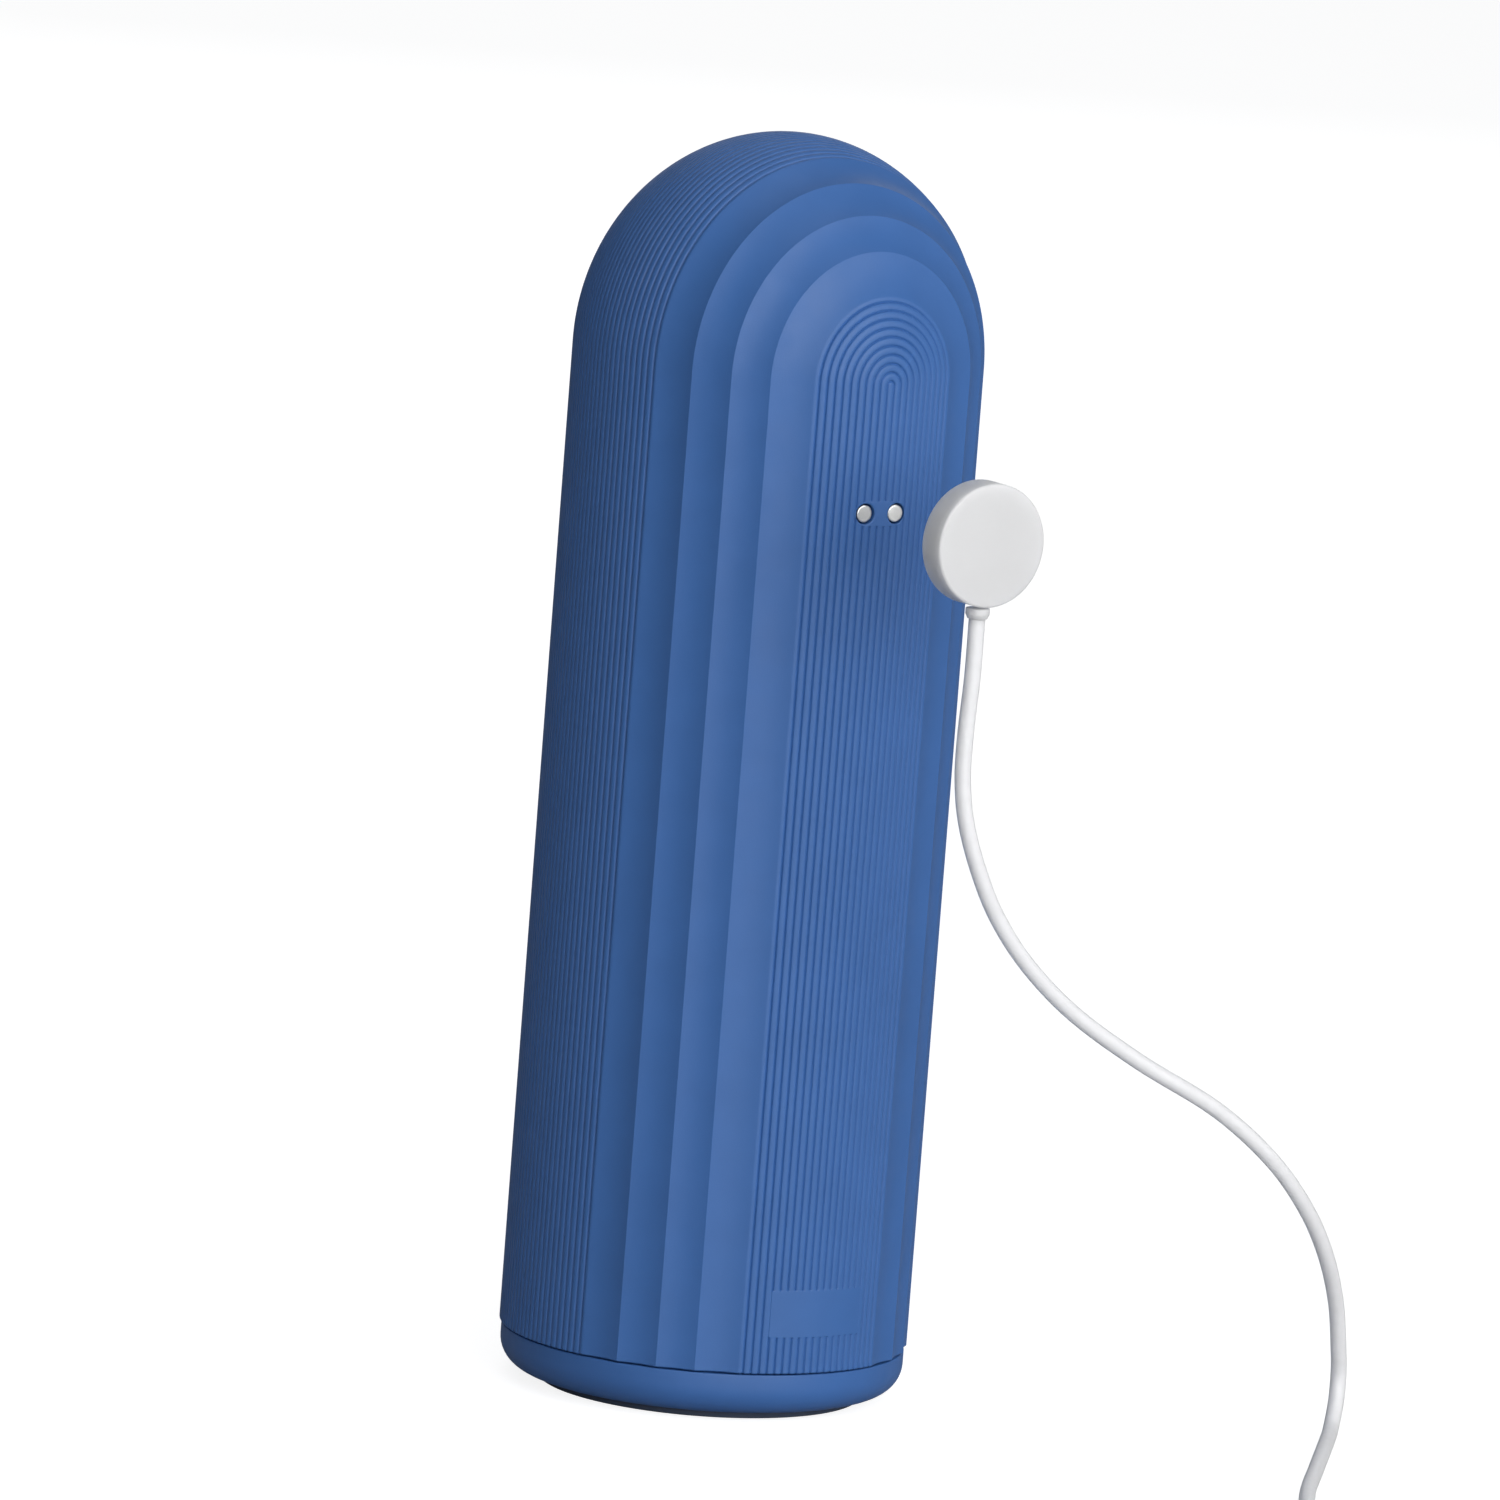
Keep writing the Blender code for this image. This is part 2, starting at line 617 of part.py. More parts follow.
def brush_head():
    """The pull-off neck and head, and the bristle field on it."""
    neck = [(0, 165.0), (2.3, 165.0), (2.6, 160.0), (3.4, 150.0), (4.6, 141.0), (5.2, 137.3), (1.6, 137.3)]
    neck += [(1.6, 147.0), (0, 147.0)]
    profile = [(r * MM, z * MM) for r, z in neck]
    made = turned("brush_neck", profile, WHITE, (0, BRUSH_Y, 0), steps=20)
    plate = head_plate("head_plate", 5.6 * MM, 8.4 * MM, 4.4 * MM, (0, BRUSH_Y, HEAD_Z), 1.0 * MM)
    boolean(made, cutter("head_plate", plate), "UNION")
    place = (0, BRUSH_Y + 6.5 * MM, HEAD_Z)
    field = head_plate("bristle_field", 4.6 * MM, 7.2 * MM, 8 * MM, place, 0.4 * MM)
    smooth(field)
    return [made, add("bristle_field", field, WHITE)]


def puck():
    """The magnetic charging puck: cover, face plate, board, magnets and the cord's collar."""
    place = (0, PUCK_REAR, CONTACT_Z)
    front = PUCK_DEPTH
    edge = 0.5 * MM
    cover = [(0, front), (PUCK_RADIUS - edge, front), (PUCK_RADIUS - 0.3 * edge, front - 0.3 * edge)]
    cover += [(PUCK_RADIUS, front - edge), (PUCK_RADIUS, 0.3 * MM), (PUCK_RADIUS - 0.3 * MM, 0)]
    cover += [(PUCK_CAVITY, 0), (PUCK_CAVITY, front - 1.2 * MM), (0, front - 1.2 * MM)]
    plate_radius = PUCK_CAVITY - GAP
    plate = rod("puck_face", plate_radius, 0.3 * MM, 1.8 * MM, CORD_WHITE, place, FACING_BACK, steps=28)
    made = [
        turned("puck_cover", cover, CORD_WHITE, place, FACING_BACK, steps=36),
        plate,
        rod("puck_board", 9.0 * MM, 3.4 * MM, 4.2 * MM, BOARD, place, FACING_BACK),
    ]
    for side, word in ((-1, "left"), (1, "right")):
        hole = (side * CONTACT_X, PUCK_REAR, CONTACT_Z)
        boolean(plate, bar_cutter(f"pin_hole_{word}", 1.05 * MM, 8 * MM, hole, FACING_BACK, 16))
        spot = (side * 6.8 * MM, PUCK_REAR, CONTACT_Z)
        made.append(rod(f"puck_magnet_{word}", 2.0 * MM, 2.1 * MM, 3.1 * MM, STEEL, spot, FACING_BACK))
    high = CONTACT_Z - PUCK_RADIUS - 0.4 * MM
    low = 145.2 * MM
    collar = [(0, high), (2.05 * MM, high), (2.05 * MM, low + 0.6 * MM), (1.8 * MM, low), (0, low)]
    made.append(turned("puck_collar", collar, CORD_WHITE, (0, PUCK_MIDDLE, 0), steps=24))
    return made


def puck_pin(side, word):
    """A sprung contact pin of the puck."""
    place = (side * CONTACT_X, PUCK_REAR, CONTACT_Z)
    return [rod(f"puck_pin_{word}", 0.75 * MM, -PIN_REACH, 2.5 * MM, GOLD, place, FACING_BACK, 16, 0.15 * MM)]


def cord():
    """The cord's lead and tail, the ring that stands for its coil, and the tie round that ring."""
    route = [Vector(point) * MM for point in CORD_ROUTE]
    tail = [Vector(point) * MM for point in TAIL_ROUTE]
    centre = (*COIL_CENTRE, 0)
    inner = COIL_MIDDLE - COIL_HALF_WIDTH
    outer = COIL_MIDDLE + COIL_HALF_WIDTH
    edge = 1.2 * MM
    section = [(outer - edge, COIL_TOP), (outer, COIL_TOP - edge), (outer, COIL_FOOT + edge)]
    section += [(outer - edge, COIL_FOOT), (inner + edge, COIL_FOOT), (inner, COIL_FOOT + edge)]
    section += [(inner, COIL_TOP - edge), (inner + edge, COIL_TOP)]
    return [
        tube("cord_lead", catmull_rom(route, CORD_STEPS), CORD_RADIUS, CORD_WHITE),
        turned("cord_coil", section, CORD_WHITE, centre, steps=28, closed=True),
        tube("cord_tail", catmull_rom(tail, CORD_STEPS), CORD_RADIUS, CORD_WHITE),
        cord_tie(),
    ]


def cord_tie():
    """A flat band round one side of the coil."""
    wall = 0.6 * MM
    width = 6 * MM
    across = 2 * (COIL_HALF_WIDTH + 2.5 * GAP + wall)
    high = COIL_TOP + GAP + wall
    turn = PLUG_HEADING - pi
    place = Vector((*COIL_CENTRE, high / 2)) + Vector((cos(turn), sin(turn), 0)) * COIL_MIDDLE
    made = add("cord_tie", box_mesh("cord_tie", (across, width, high)), BLACK_RUBBER, place, (0, 0, turn))
    hole = box_mesh("tie_hole", (across - 2 * wall, width * 2, high - 2 * wall))
    boolean(made, cutter("tie_hole", hole, place, (0, 0, turn)))
    return made


def plug_block(name, start, length, width, height, look, bevel=0.0):
    """A block of the plug: start is its distance along the plug from the cord."""
    along = Vector((cos(PLUG_HEADING), sin(PLUG_HEADING), 0))
    place = PLUG_START + along * (start + length / 2)
    made = add(name, box_mesh(name, (length, width, height)), look, place, (0, 0, PLUG_HEADING))
    if bevel:
        soften(made, bevel, 3)
    return made


def plug():
    """The USB plug: overmould, metal shell and the tongue inside it."""
    body = plug_block("plug_body", 0, 24 * MM, 14.5 * MM, 7.4 * MM, CORD_WHITE, 1.6 * MM)
    start = 24 * MM + GAP
    shell = plug_block("plug_shell", start, 14 * MM, 12 * MM, 4.5 * MM, STEEL)
    along = Vector((cos(PLUG_HEADING), sin(PLUG_HEADING), 0))
    place = PLUG_START + along * (start + 7 * MM)
    hole = box_mesh("plug_hole", (30 * MM, 11.2 * MM, 3.7 * MM))
    boolean(shell, cutter("plug_hole", hole, place, (0, 0, PLUG_HEADING)))
    tongue = plug_block("plug_tongue", start, 13 * MM, 10.6 * MM, 1.4 * MM, CHIP)
    tongue.location.z += 0.8 * MM
    return [body, shell, tongue]


def main():
    pads = transfer_contacts()
    panel, case_key = front_controls()
    base_cap()
    base_pieces()
    cradle()
    shell = case_shell() + liner() + lamp() + charging_contacts() + case_electronics() + panel + pads
    lift = axis_empty("shell_lift_axis", (0, 0, SEAM_Z), shell)
    axis_empty("case_button_axis", (0, CASE_RADIUS, BUTTON_Z), case_key, lift)
    brush = axis_empty("brush_lift_axis", (0, BRUSH_Y, HANDLE_FOOT), handle() + brush_inside())
    axis_empty("brush_button_axis", (0, BRUSH_Y, BRUSH_BUTTON_Z), brush_button(), brush)
    shaft = axis_empty("shaft_axis", (0, BRUSH_Y, SHAFT_TOP), drive_shaft(), brush)
    axis_empty("head_pull_axis", (0, BRUSH_Y, HEAD_FOOT), brush_head(), shaft)
    dock = axis_empty("puck_dock_axis", (0, PUCK_REAR, CONTACT_Z), puck() + cord() + plug())
    for side, word in ((-1, "left"), (1, "right")):
        axis_empty(f"pin_{word}_axis", (side * CONTACT_X, PUCK_REAR, CONTACT_Z), puck_pin(side, word), dock)


for leftover in list(bpy.data.objects):
    bpy.data.objects.remove(leftover)
PART = collection("toothbrush_charging_case")
CUTTERS = collection("cutters")
main()
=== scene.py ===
"""Looks of the domed charging case, the toothbrush in it, and its charging puck on a cord.

Every length is in metres in the row frame: +Z up, the relief panel and charging contacts facing -Y.
"""

import json
from math import cos, pi, radians, sin, sqrt, tan

import bmesh
import bpy
import numpy as np
from mathutils import Matrix, Vector


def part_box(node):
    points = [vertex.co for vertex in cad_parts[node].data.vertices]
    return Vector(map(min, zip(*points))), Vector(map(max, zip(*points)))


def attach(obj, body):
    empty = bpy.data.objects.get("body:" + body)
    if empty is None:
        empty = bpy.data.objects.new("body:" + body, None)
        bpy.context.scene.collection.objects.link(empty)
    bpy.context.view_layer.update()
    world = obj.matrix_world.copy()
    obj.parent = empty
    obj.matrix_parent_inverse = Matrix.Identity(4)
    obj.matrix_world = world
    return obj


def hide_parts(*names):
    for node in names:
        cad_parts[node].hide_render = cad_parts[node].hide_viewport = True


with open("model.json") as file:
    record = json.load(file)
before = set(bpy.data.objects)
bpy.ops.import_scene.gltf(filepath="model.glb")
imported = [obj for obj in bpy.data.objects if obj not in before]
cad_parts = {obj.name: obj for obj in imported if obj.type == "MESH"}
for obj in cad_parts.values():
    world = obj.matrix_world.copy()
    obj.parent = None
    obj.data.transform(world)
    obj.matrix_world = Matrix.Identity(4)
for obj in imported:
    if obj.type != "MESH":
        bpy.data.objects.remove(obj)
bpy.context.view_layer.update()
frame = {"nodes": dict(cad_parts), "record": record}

MM = 0.001
UP = Vector((0, 0, 1))
FACING_BACK = Matrix.Rotation(pi / 2, 4, "X")
FACING_FRONT = Matrix.Rotation(-pi / 2, 4, "X")

# Outer shell: a cylinder with a slightly tall dome, covered in nested arches.
CASE_RADIUS = 35.2 * MM
CASE_WALL = 2.4 * MM
SHELL_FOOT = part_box("outer_shell")[0].z
DOME_Z = 179.6 * MM
DOME_RISE = 1.085

# Arches: their edges and pitches are in degrees round from the panel's centre line.
PANEL_EDGE = 22.7
PANEL_PITCH = 2.26
SIDE_RIBS = (68.9, 128.0)
SIDE_RIB_COUNT = 27
SIDE_PITCH = (SIDE_RIBS[1] - SIDE_RIBS[0]) / SIDE_RIB_COUNT
FLUTES = ((PANEL_EDGE, 35.0), (35.0, 45.9), (45.9, 57.4), (57.4, 68.9))
FLUTES += ((128.0, 142.6), (142.6, 180 - PANEL_EDGE))
FLUTE_SLOPE = tan(radians(18.0))
# A groove's half width as a share of the pitch, its depth, and how far a land falls towards it.
GROOVE_SHARE = 0.19
GROOVE_DEPTH = 0.36 * MM
LAND_FALL = 0.07 * MM

# Contacts, button, light and the patches that are left without ribs.
CONTACT_RADIUS = 1.5 * MM
CONTACT_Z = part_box("charge_contact_left")[0].z + CONTACT_RADIUS
CONTACT_X = 3.1 * MM
CONTACT_HOLE = 1.8 * MM
BUTTON_Z = 150.0 * MM
BUTTON_HOLE = 5.8 * MM
LIGHT_Z = 163.0 * MM
LIGHT_HOLE = 1.2 * MM
CONTROLS_MIDDLE = 155 * MM
LABEL_MIDDLE = 19.7 * MM
PATCH_BLEND = 0.14 * MM
HOLE_LIP = 0.2 * MM
HOLE_DEPTH = 12 * MM

# Brush and its cradle.
BRUSH_Y = 7.0 * MM
BRUSH_BUTTON_Z = 84 * MM
HEAD_Z = 169.4 * MM
SCREW_CIRCLE = 19 * MM
SCREW_HOLE = 1.2 * MM
# Handle grip, in millimetres: middle height, half height, and the pitch and depth of its ridges.
GRIP_MIDDLE = 48
GRIP_HALF = 22
GRIP_PITCH = 2.2
GRIP_DEPTH = 0.12
FILAMENTS = 22
GOLDEN_TURN = 2.399963

PUCK_DEPTH = 5.7 * MM
PUCK_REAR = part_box("puck_cover")[1].y

# Cord: the same route as the CAD lead, in millimetres, then a flat coil and a tail to the plug.
CORD_RADIUS = 1.4 * MM
CORD_ROUTE = (
    (0.0, -66.2, 144.9),
    (0.0, -66.2, 135.0),
    (-0.3, -66.0, 126.0),
    (-0.2, -66.0, 118.0),
    (1.0, -66.3, 110.4),
    (3.8, -67.0, 102.2),
    (8.1, -67.5, 94.0),
    (14.7, -68.2, 85.7),
    (24.0, -69.5, 77.4),
    (36.7, -71.6, 69.2),
    (51.5, -74.3, 61.0),
    (62.8, -75.5, 52.3),
    (72.0, -73.9, 43.2),
    (79.4, -70.7, 34.1),
    (85.9, -66.0, 24.4),
    (89.8, -62.6, 15.0),
    (91.3, -61.1, 10.4),
    (90.6, -62.0, 5.9),
    (88.3, -64.5, 2.6),
    (84.8, -68.7, 1.4),
    (79.0, -75.8, 1.4),
    (66.2, -91.4, 1.4),
    (53.4, -107.2, 1.4),
    (38.9, -127.7, 1.4),
    (27.4, -144.1, 1.8),
    (22.0, -151.9, 2.2),
)
TAIL_ROUTE = (
    (-22.4, -158.4, 4.5),
    (-26.6, -155.6, 4.2),
    (-31.2, -152.6, 3.8),
    (-35.4, -149.8, 3.7),
)
COIL_CENTRE = Vector((-1.0, -150.0, 0.0)) * MM
COIL_MIDDLE = 16.0 * MM
COIL_STEPS = 36
PLUG_HEADING = radians(146.5)
PLUG_START = Vector((-35.65, -149.65, 3.7)) * MM

# Camera: straight at the case from the left of its relief panel, a little above it.
CAMERA_TURN = radians(33.525)
CAMERA_RISE = radians(8.99)
CAMERA_ROLL = radians(4.42)
CAMERA_DISTANCE = 2.5
CAMERA_LENS = 350
CAMERA_SENSOR = 36
CAMERA_AIM = Vector((0, 0, 108.0)) * MM
CAMERA_SHIFT = (0.62 * MM, 3.02 * MM)
# Level directions in that view, which the coil is laid out along.
ACROSS = Vector((cos(CAMERA_TURN), -sin(CAMERA_TURN), 0))
NEARER = Vector((-sin(CAMERA_TURN), -cos(CAMERA_TURN), 0))


# ---------------------------------------------------------------- stage


def camera():
    out = Vector(
        (
            -sin(CAMERA_TURN) * cos(CAMERA_RISE),
            -cos(CAMERA_TURN) * cos(CAMERA_RISE),
            sin(CAMERA_RISE),
        )
    )
    level_right = UP.cross(out).normalized()
    level_up = out.cross(level_right)
    right = level_right * cos(CAMERA_ROLL) + level_up * sin(CAMERA_ROLL)
    up = level_up * cos(CAMERA_ROLL) - level_right * sin(CAMERA_ROLL)
    lens = bpy.data.cameras.new("camera")
    lens.lens = CAMERA_LENS
    lens.sensor_width = CAMERA_SENSOR
    lens.clip_end = 100
    made = bpy.data.objects.new("camera", lens)
    place = CAMERA_AIM + out * CAMERA_DISTANCE + right * CAMERA_SHIFT[0] + up * CAMERA_SHIFT[1]
    turn = Matrix((right, up, out)).transposed().to_4x4()
    made.matrix_world = Matrix.Translation(place) @ turn
    bpy.context.scene.collection.objects.link(made)
    bpy.context.scene.camera = made


def softbox(name, place, aim, size, power):
    light = bpy.data.lights.new(name, "AREA")
    light.shape = "RECTANGLE"
    light.size, light.size_y = size
    light.energy = power
    made = bpy.data.objects.new(name, light)
    away = (Vector(place) - Vector(aim)).normalized()
    made.matrix_world = Matrix.Translation(place) @ away.to_track_quat("Z", "Y").to_matrix().to_4x4()
    bpy.context.scene.collection.objects.link(made)


def stage():
    world = bpy.data.worlds.new("studio")
    world.use_nodes = True
    world.node_tree.nodes["Background"].inputs["Color"].default_value = (0.93, 0.96, 1.0, 1.0)
    world.node_tree.nodes["Background"].inputs["Strength"].default_value = 0.16
    bpy.context.scene.world = world
    bpy.context.scene.view_settings.view_transform = "Standard"
    softbox("key", (-0.1, -1.7, 0.55), (0, 0, 0.1), (2.4, 1.9), 45)
    softbox("side", (1.5, -0.5, 0.6), (0, 0, 0.1), (0.8, 1.0), 0.8)
    softbox("fill", (-1.6, -0.9, 0.4), (0, 0, 0.1), (0.9, 1.0), 0.3)
    softbox("overhead", (0, 0.2, 2.6), (0, 0, 0), (2.0, 2.0), 8)
    softbox("back", (0.9, 1.5, 0.8), (0, 0, 0.1), (1.4, 1.2), 3.5)
    floor = lathe("floor", [(0, 0), (1.5, 0), (6, 0), (12, 0)], steps=96)
    floor.data.materials.append(floor_paint())


# ---------------------------------------------------------------- materials


class Paint:
    """A material built from nodes, with short calls for what repeats."""

    def __init__(self, name, roughness, metallic=0.0, **sockets):
        self.material = bpy.data.materials.new(name)
        self.material.use_nodes = True
        self.tree = self.material.node_tree
        self.shader = self.tree.nodes["Principled BSDF"]
        self.set("Roughness", roughness)
        self.set("Metallic", metallic)
        for socket, value in sockets.items():
            self.set(socket.replace("_", " ").title().replace("Ior", "IOR"), value)
        self.place = self.node("ShaderNodeTexCoord").outputs["Object"]

    def set(self, socket, value):
        self.shader.inputs[socket].default_value = value

    def node(self, kind, links=None, **values):
        made = self.tree.nodes.new(kind)
        for key, value in values.items():
            setattr(made, key, value)
        for socket, source in (links or {}).items():
            if isinstance(source, bpy.types.NodeSocket):
                self.tree.links.new(source, made.inputs[socket])
            else:
                made.inputs[socket].default_value = source
        return made

    def to_shader(self, source, socket):
        self.tree.links.new(source, self.shader.inputs[socket])

    def noise(self, size, detail=3.0, stretch=(1, 1, 1), rough=0.5):
        """Noise from 0 to 1 with blobs of about that size in metres, drawn out by stretch."""
        links = {"Vector": self.place, "Scale": [1 / (size * s) for s in stretch]}
        scaled = self.node("ShaderNodeMapping", links).outputs["Vector"]
        links = {"Vector": scaled, "Scale": 1.0, "Detail": detail, "Roughness": rough}
        return self.node("ShaderNodeTexNoise", links).outputs["Fac"]

    def ranged(self, source, low, high, start=0.3, end=0.7):
        links = {"Value": source, "From Min": start, "From Max": end, "To Min": low, "To Max": high}
        return self.node("ShaderNodeMapRange", links).outputs["Result"]

    def colours(self, source, stops):
        """A colour ramp: stops is (position, colour) pairs."""
        ramp = self.node("ShaderNodeValToRGB", {"Fac": source})
        elements = ramp.color_ramp.elements
        while len(elements) < len(stops):
            elements.new(0.5)
        for element, (position, colour) in zip(elements, stops):
            element.position = position
            element.color = (*colour, 1.0)
        return ramp.outputs["Color"]

    def mix(self, share, first, second, blend="MIX"):
        made = self.node("ShaderNodeMix", data_type="RGBA", blend_type=blend)
        for socket, source in ((made.inputs[0], share), (made.inputs[6], first), (made.inputs[7], second)):
            if isinstance(source, bpy.types.NodeSocket):
                self.tree.links.new(source, socket)
            elif isinstance(source, (int, float)):
                socket.default_value = source
            else:
                socket.default_value = (*source, 1.0)
        return made.outputs[2]

    def maths(self, operation, first, second=0.0):
        return self.node("ShaderNodeMath", {0: first, 1: second}, operation=operation).outputs["Value"]

    def bump(self, height, depth, strength=1.0, after=None):
        links = {"Height": height, "Distance": depth, "Strength": strength}
        if after is not None:
            links["Normal"] = after
        return self.node("ShaderNodeBump", links).outputs["Normal"]

    def edges(self, low=0.5, high=0.6):
        """From 0 on flats to 1 on sharp outer edges."""
        pointed = self.node("ShaderNodeNewGeometry").outputs["Pointiness"]
        return self.ranged(pointed, 0.0, 1.0, low, high)


def shaded(colour, factor):
    return tuple(min(1.0, part * factor) for part in colour)


def moulded(name, colour, roughness, grain=0.25 * MM, depth=0.02 * MM, mottle=0.06, wear=0.25, **sockets):
    """Moulded plastic or rubber: fine spark-eroded grain, faint mottling, handled edges."""
    paint = Paint(name, roughness, **sockets)
    paint.set("Subsurface Radius", (1, 1, 1))
    cloudy = paint.noise(9 * MM, 4.0)
    stops = ((0.3, shaded(colour, 1 - mottle)), (0.7, shaded(colour, 1 + mottle)))
    base = paint.colours(cloudy, stops)
    rubbed = paint.maths("MULTIPLY", paint.edges(0.51, 0.62), paint.ranged(paint.noise(1.6 * MM), 0.0, wear))
    paint.to_shader(paint.mix(rubbed, base, shaded(colour, 1.7)), "Base Color")
    sheen = paint.ranged(paint.noise(5 * MM, 5.0), roughness - 0.06, roughness + 0.06)
    paint.to_shader(sheen, "Roughness")
    fine = paint.bump(paint.noise(grain, 2.0, rough=0.6), depth, 0.6)
    paint.to_shader(fine, "Normal")
    return paint.material


def brushed(name, colour, roughness, along=(1, 1, 12), depth=0.004 * MM):
    """Metal with a drawn or ground grain along one way, with faint tarnish."""
    paint = Paint(name, roughness, metallic=1.0)
    lines = paint.noise(0.12 * MM, 2.0, stretch=along)
    stain = paint.noise(4 * MM, 5.0)
    base = paint.colours(stain, ((0.35, shaded(colour, 0.82)), (0.65, colour)))
    paint.to_shader(base, "Base Color")
    paint.to_shader(paint.ranged(lines, roughness * 0.7, roughness * 1.4), "Roughness")
    paint.to_shader(paint.bump(lines, depth, 0.5), "Normal")
    return paint.material


def wound(name, colour):
    """A coil of enamelled wire: fine hoops with a warm varnish and painted shade between them."""
    paint = Paint(name, 0.3, metallic=1.0, coat_weight=0.6, coat_roughness=0.15)
    links = {"Vector": paint.place, "Scale": 500.0, "Distortion": 0.4, "Detail": 1.0}
    hoops = paint.node("ShaderNodeTexWave", links, bands_direction="Z").outputs["Fac"]
    # Painted shade: the colour falls to about a third in the low grooves between hoops, where the bump sinks.
    base = paint.colours(hoops, ((0.1, shaded(colour, 0.35)), (0.6, colour)))
    paint.to_shader(base, "Base Color")
    paint.to_shader(paint.bump(hoops, 0.1 * MM), "Normal")
    return paint.material


def circuit(name):
    """Solder mask over copper: paler traces under the green, and small tinned pads."""
    paint = Paint(name, 0.4, coat_weight=0.4, coat_roughness=0.2)
    links = {"Vector": paint.place, "Scale": 260.0, "Randomness": 0.55}
    cells = paint.node("ShaderNodeTexVoronoi", links, feature="F1", distance="CHEBYCHEV")
    trace = paint.ranged(cells.outputs["Distance"], 0.0, 1.0, 0.34, 0.4)
    mask = paint.colours(trace, ((0.0, (0.012, 0.16, 0.06)), (1.0, (0.03, 0.3, 0.11))))
    pad = paint.ranged(cells.outputs["Distance"], 1.0, 0.0, 0.07, 0.09)
    paint.to_shader(paint.mix(pad, mask, (0.72, 0.7, 0.66)), "Base Color")
    paint.to_shader(pad, "Metallic")
    paint.to_shader(paint.bump(trace, 0.03 * MM), "Normal")
    return paint.material


def clear(name, colour, roughness=0.06):
    """Clear plastic with a faint haze."""
    paint = Paint(name, roughness, transmission_weight=0.85, ior=1.49)
    haze = paint.noise(2 * MM, 4.0)
    paint.to_shader(paint.colours(haze, ((0.3, shaded(colour, 0.93)), (0.7, colour))), "Base Color")
    paint.to_shader(paint.ranged(haze, roughness, roughness * 2.5), "Roughness")
    return paint.material


def cord_jacket():
    """The cord's smooth elastomer: slightly translucent, with faint draw lines and handling marks."""
    paint = Paint("cord_jacket", 0.5, subsurface_weight=0.8, subsurface_scale=0.003)
    paint.set("Subsurface Radius", (1, 1, 1))
    drawn = paint.noise(2.2 * MM, 4.0)
    base = paint.colours(drawn, ((0.3, (0.86, 0.86, 0.87)), (0.7, (0.9, 0.9, 0.915))))
    paint.to_shader(base, "Base Color")
    paint.to_shader(paint.ranged(paint.noise(1.1 * MM, 3.0), 0.36, 0.5), "Roughness")
    paint.to_shader(paint.bump(paint.noise(0.3 * MM, 2.0), 0.002 * MM, 0.4), "Normal")
    return paint.material


def floor_paint():
    """A pale matt studio floor, lit from within for the eye only so that it throws little light back."""
    paint = Paint("floor_paint", 0.85)
    cloud = paint.noise(0.4, 3.0)
    stops = ((0.3, (0.4, 0.4, 0.405)), (0.7, (0.42, 0.42, 0.425)))
    paint.to_shader(paint.colours(cloud, stops), "Base Color")
    paint.set("Emission Color", (1, 1, 1, 1))
    seen = paint.node("ShaderNodeLightPath").outputs["Is Camera Ray"]
    paint.to_shader(paint.maths("MULTIPLY", seen, 0.86), "Emission Strength")
    return paint.material


def paints():
    """Each record slot's material."""
    blue = (0.044, 0.137, 0.385)
    return {
        "case_blue": moulded("case_blue", blue, 0.48, mottle=0.03, wear=0.15, specular_ior_level=0.42),
        "button_blue": moulded("button_blue", shaded(blue, 0.8), 0.45),
        "grey_rubber": moulded("grey_rubber", (0.05, 0.07, 0.115), 0.72, 0.4 * MM, 0.04 * MM),
        "black_rubber": moulded("black_rubber", (0.018, 0.018, 0.02), 0.62, 0.4 * MM, 0.03 * MM, wear=0.5),
        "white_plastic": moulded("white_plastic", (0.75, 0.75, 0.76), 0.36, mottle=0.02, wear=0.1),
        "cord_white": moulded(
            "cord_white",
            (0.86, 0.86, 0.87),
            0.44,
            depth=0.008 * MM,
            mottle=0.012,
            wear=0.05,
            subsurface_weight=0.7,
            subsurface_scale=0.006,
        ),
        "cord_jacket": cord_jacket(),
        "bristle_nylon": moulded("bristle_nylon", (0.72, 0.76, 0.82), 0.3, 0.1 * MM, 0.005 * MM),
        "natural_plastic": moulded("natural_plastic", (0.58, 0.58, 0.555), 0.5, mottle=0.04),
        "steel": brushed("steel", (0.62, 0.62, 0.63), 0.3),
        "contact_nickel": brushed("contact_nickel", (0.93, 0.93, 0.91), 0.38, (12, 1, 1), 0.002 * MM),
        "contact_gold": brushed("contact_gold", (0.83, 0.63, 0.3), 0.2, (12, 1, 1), 0.002 * MM),
        "copper": wound("copper", (0.72, 0.34, 0.17)),
        "circuit_board": circuit("circuit_board"),
        "black_component": moulded("black_component", (0.02, 0.02, 0.022), 0.45, 0.15 * MM, 0.02 * MM),
        "cell_wrap": moulded("cell_wrap", (0.07, 0.27, 0.13), 0.28, 1.5 * MM, 0.05 * MM),
        "clear_window": clear("clear_window", (0.8, 0.88, 0.95)),
    }


# ---------------------------------------------------------------- mesh tools


def new_object(name, mesh):
    made = bpy.data.objects.new(name, mesh)
    bpy.context.scene.collection.objects.link(made)
    return made


def smooth(mesh, angle):
    """Smooth shading with edges over that many degrees kept sharp."""
    mesh.shade_smooth()
    mesh.set_sharp_from_angle(angle=radians(angle))


def mesh_object(name, points, faces, angle=30):
    mesh = bpy.data.meshes.new(name)
    mesh.from_pydata([tuple(p) for p in points], [], faces)
    smooth(mesh, angle)
    return new_object(name, mesh)


def shape_object(name, shape, angle=None):
    """An object made from a bmesh, which is freed, and smoothed if an angle is given."""
    mesh = bpy.data.meshes.new(name)
    shape.to_mesh(mesh)
    shape.free()
    if angle is not None:
        smooth(mesh, angle)
    return new_object(name, mesh)


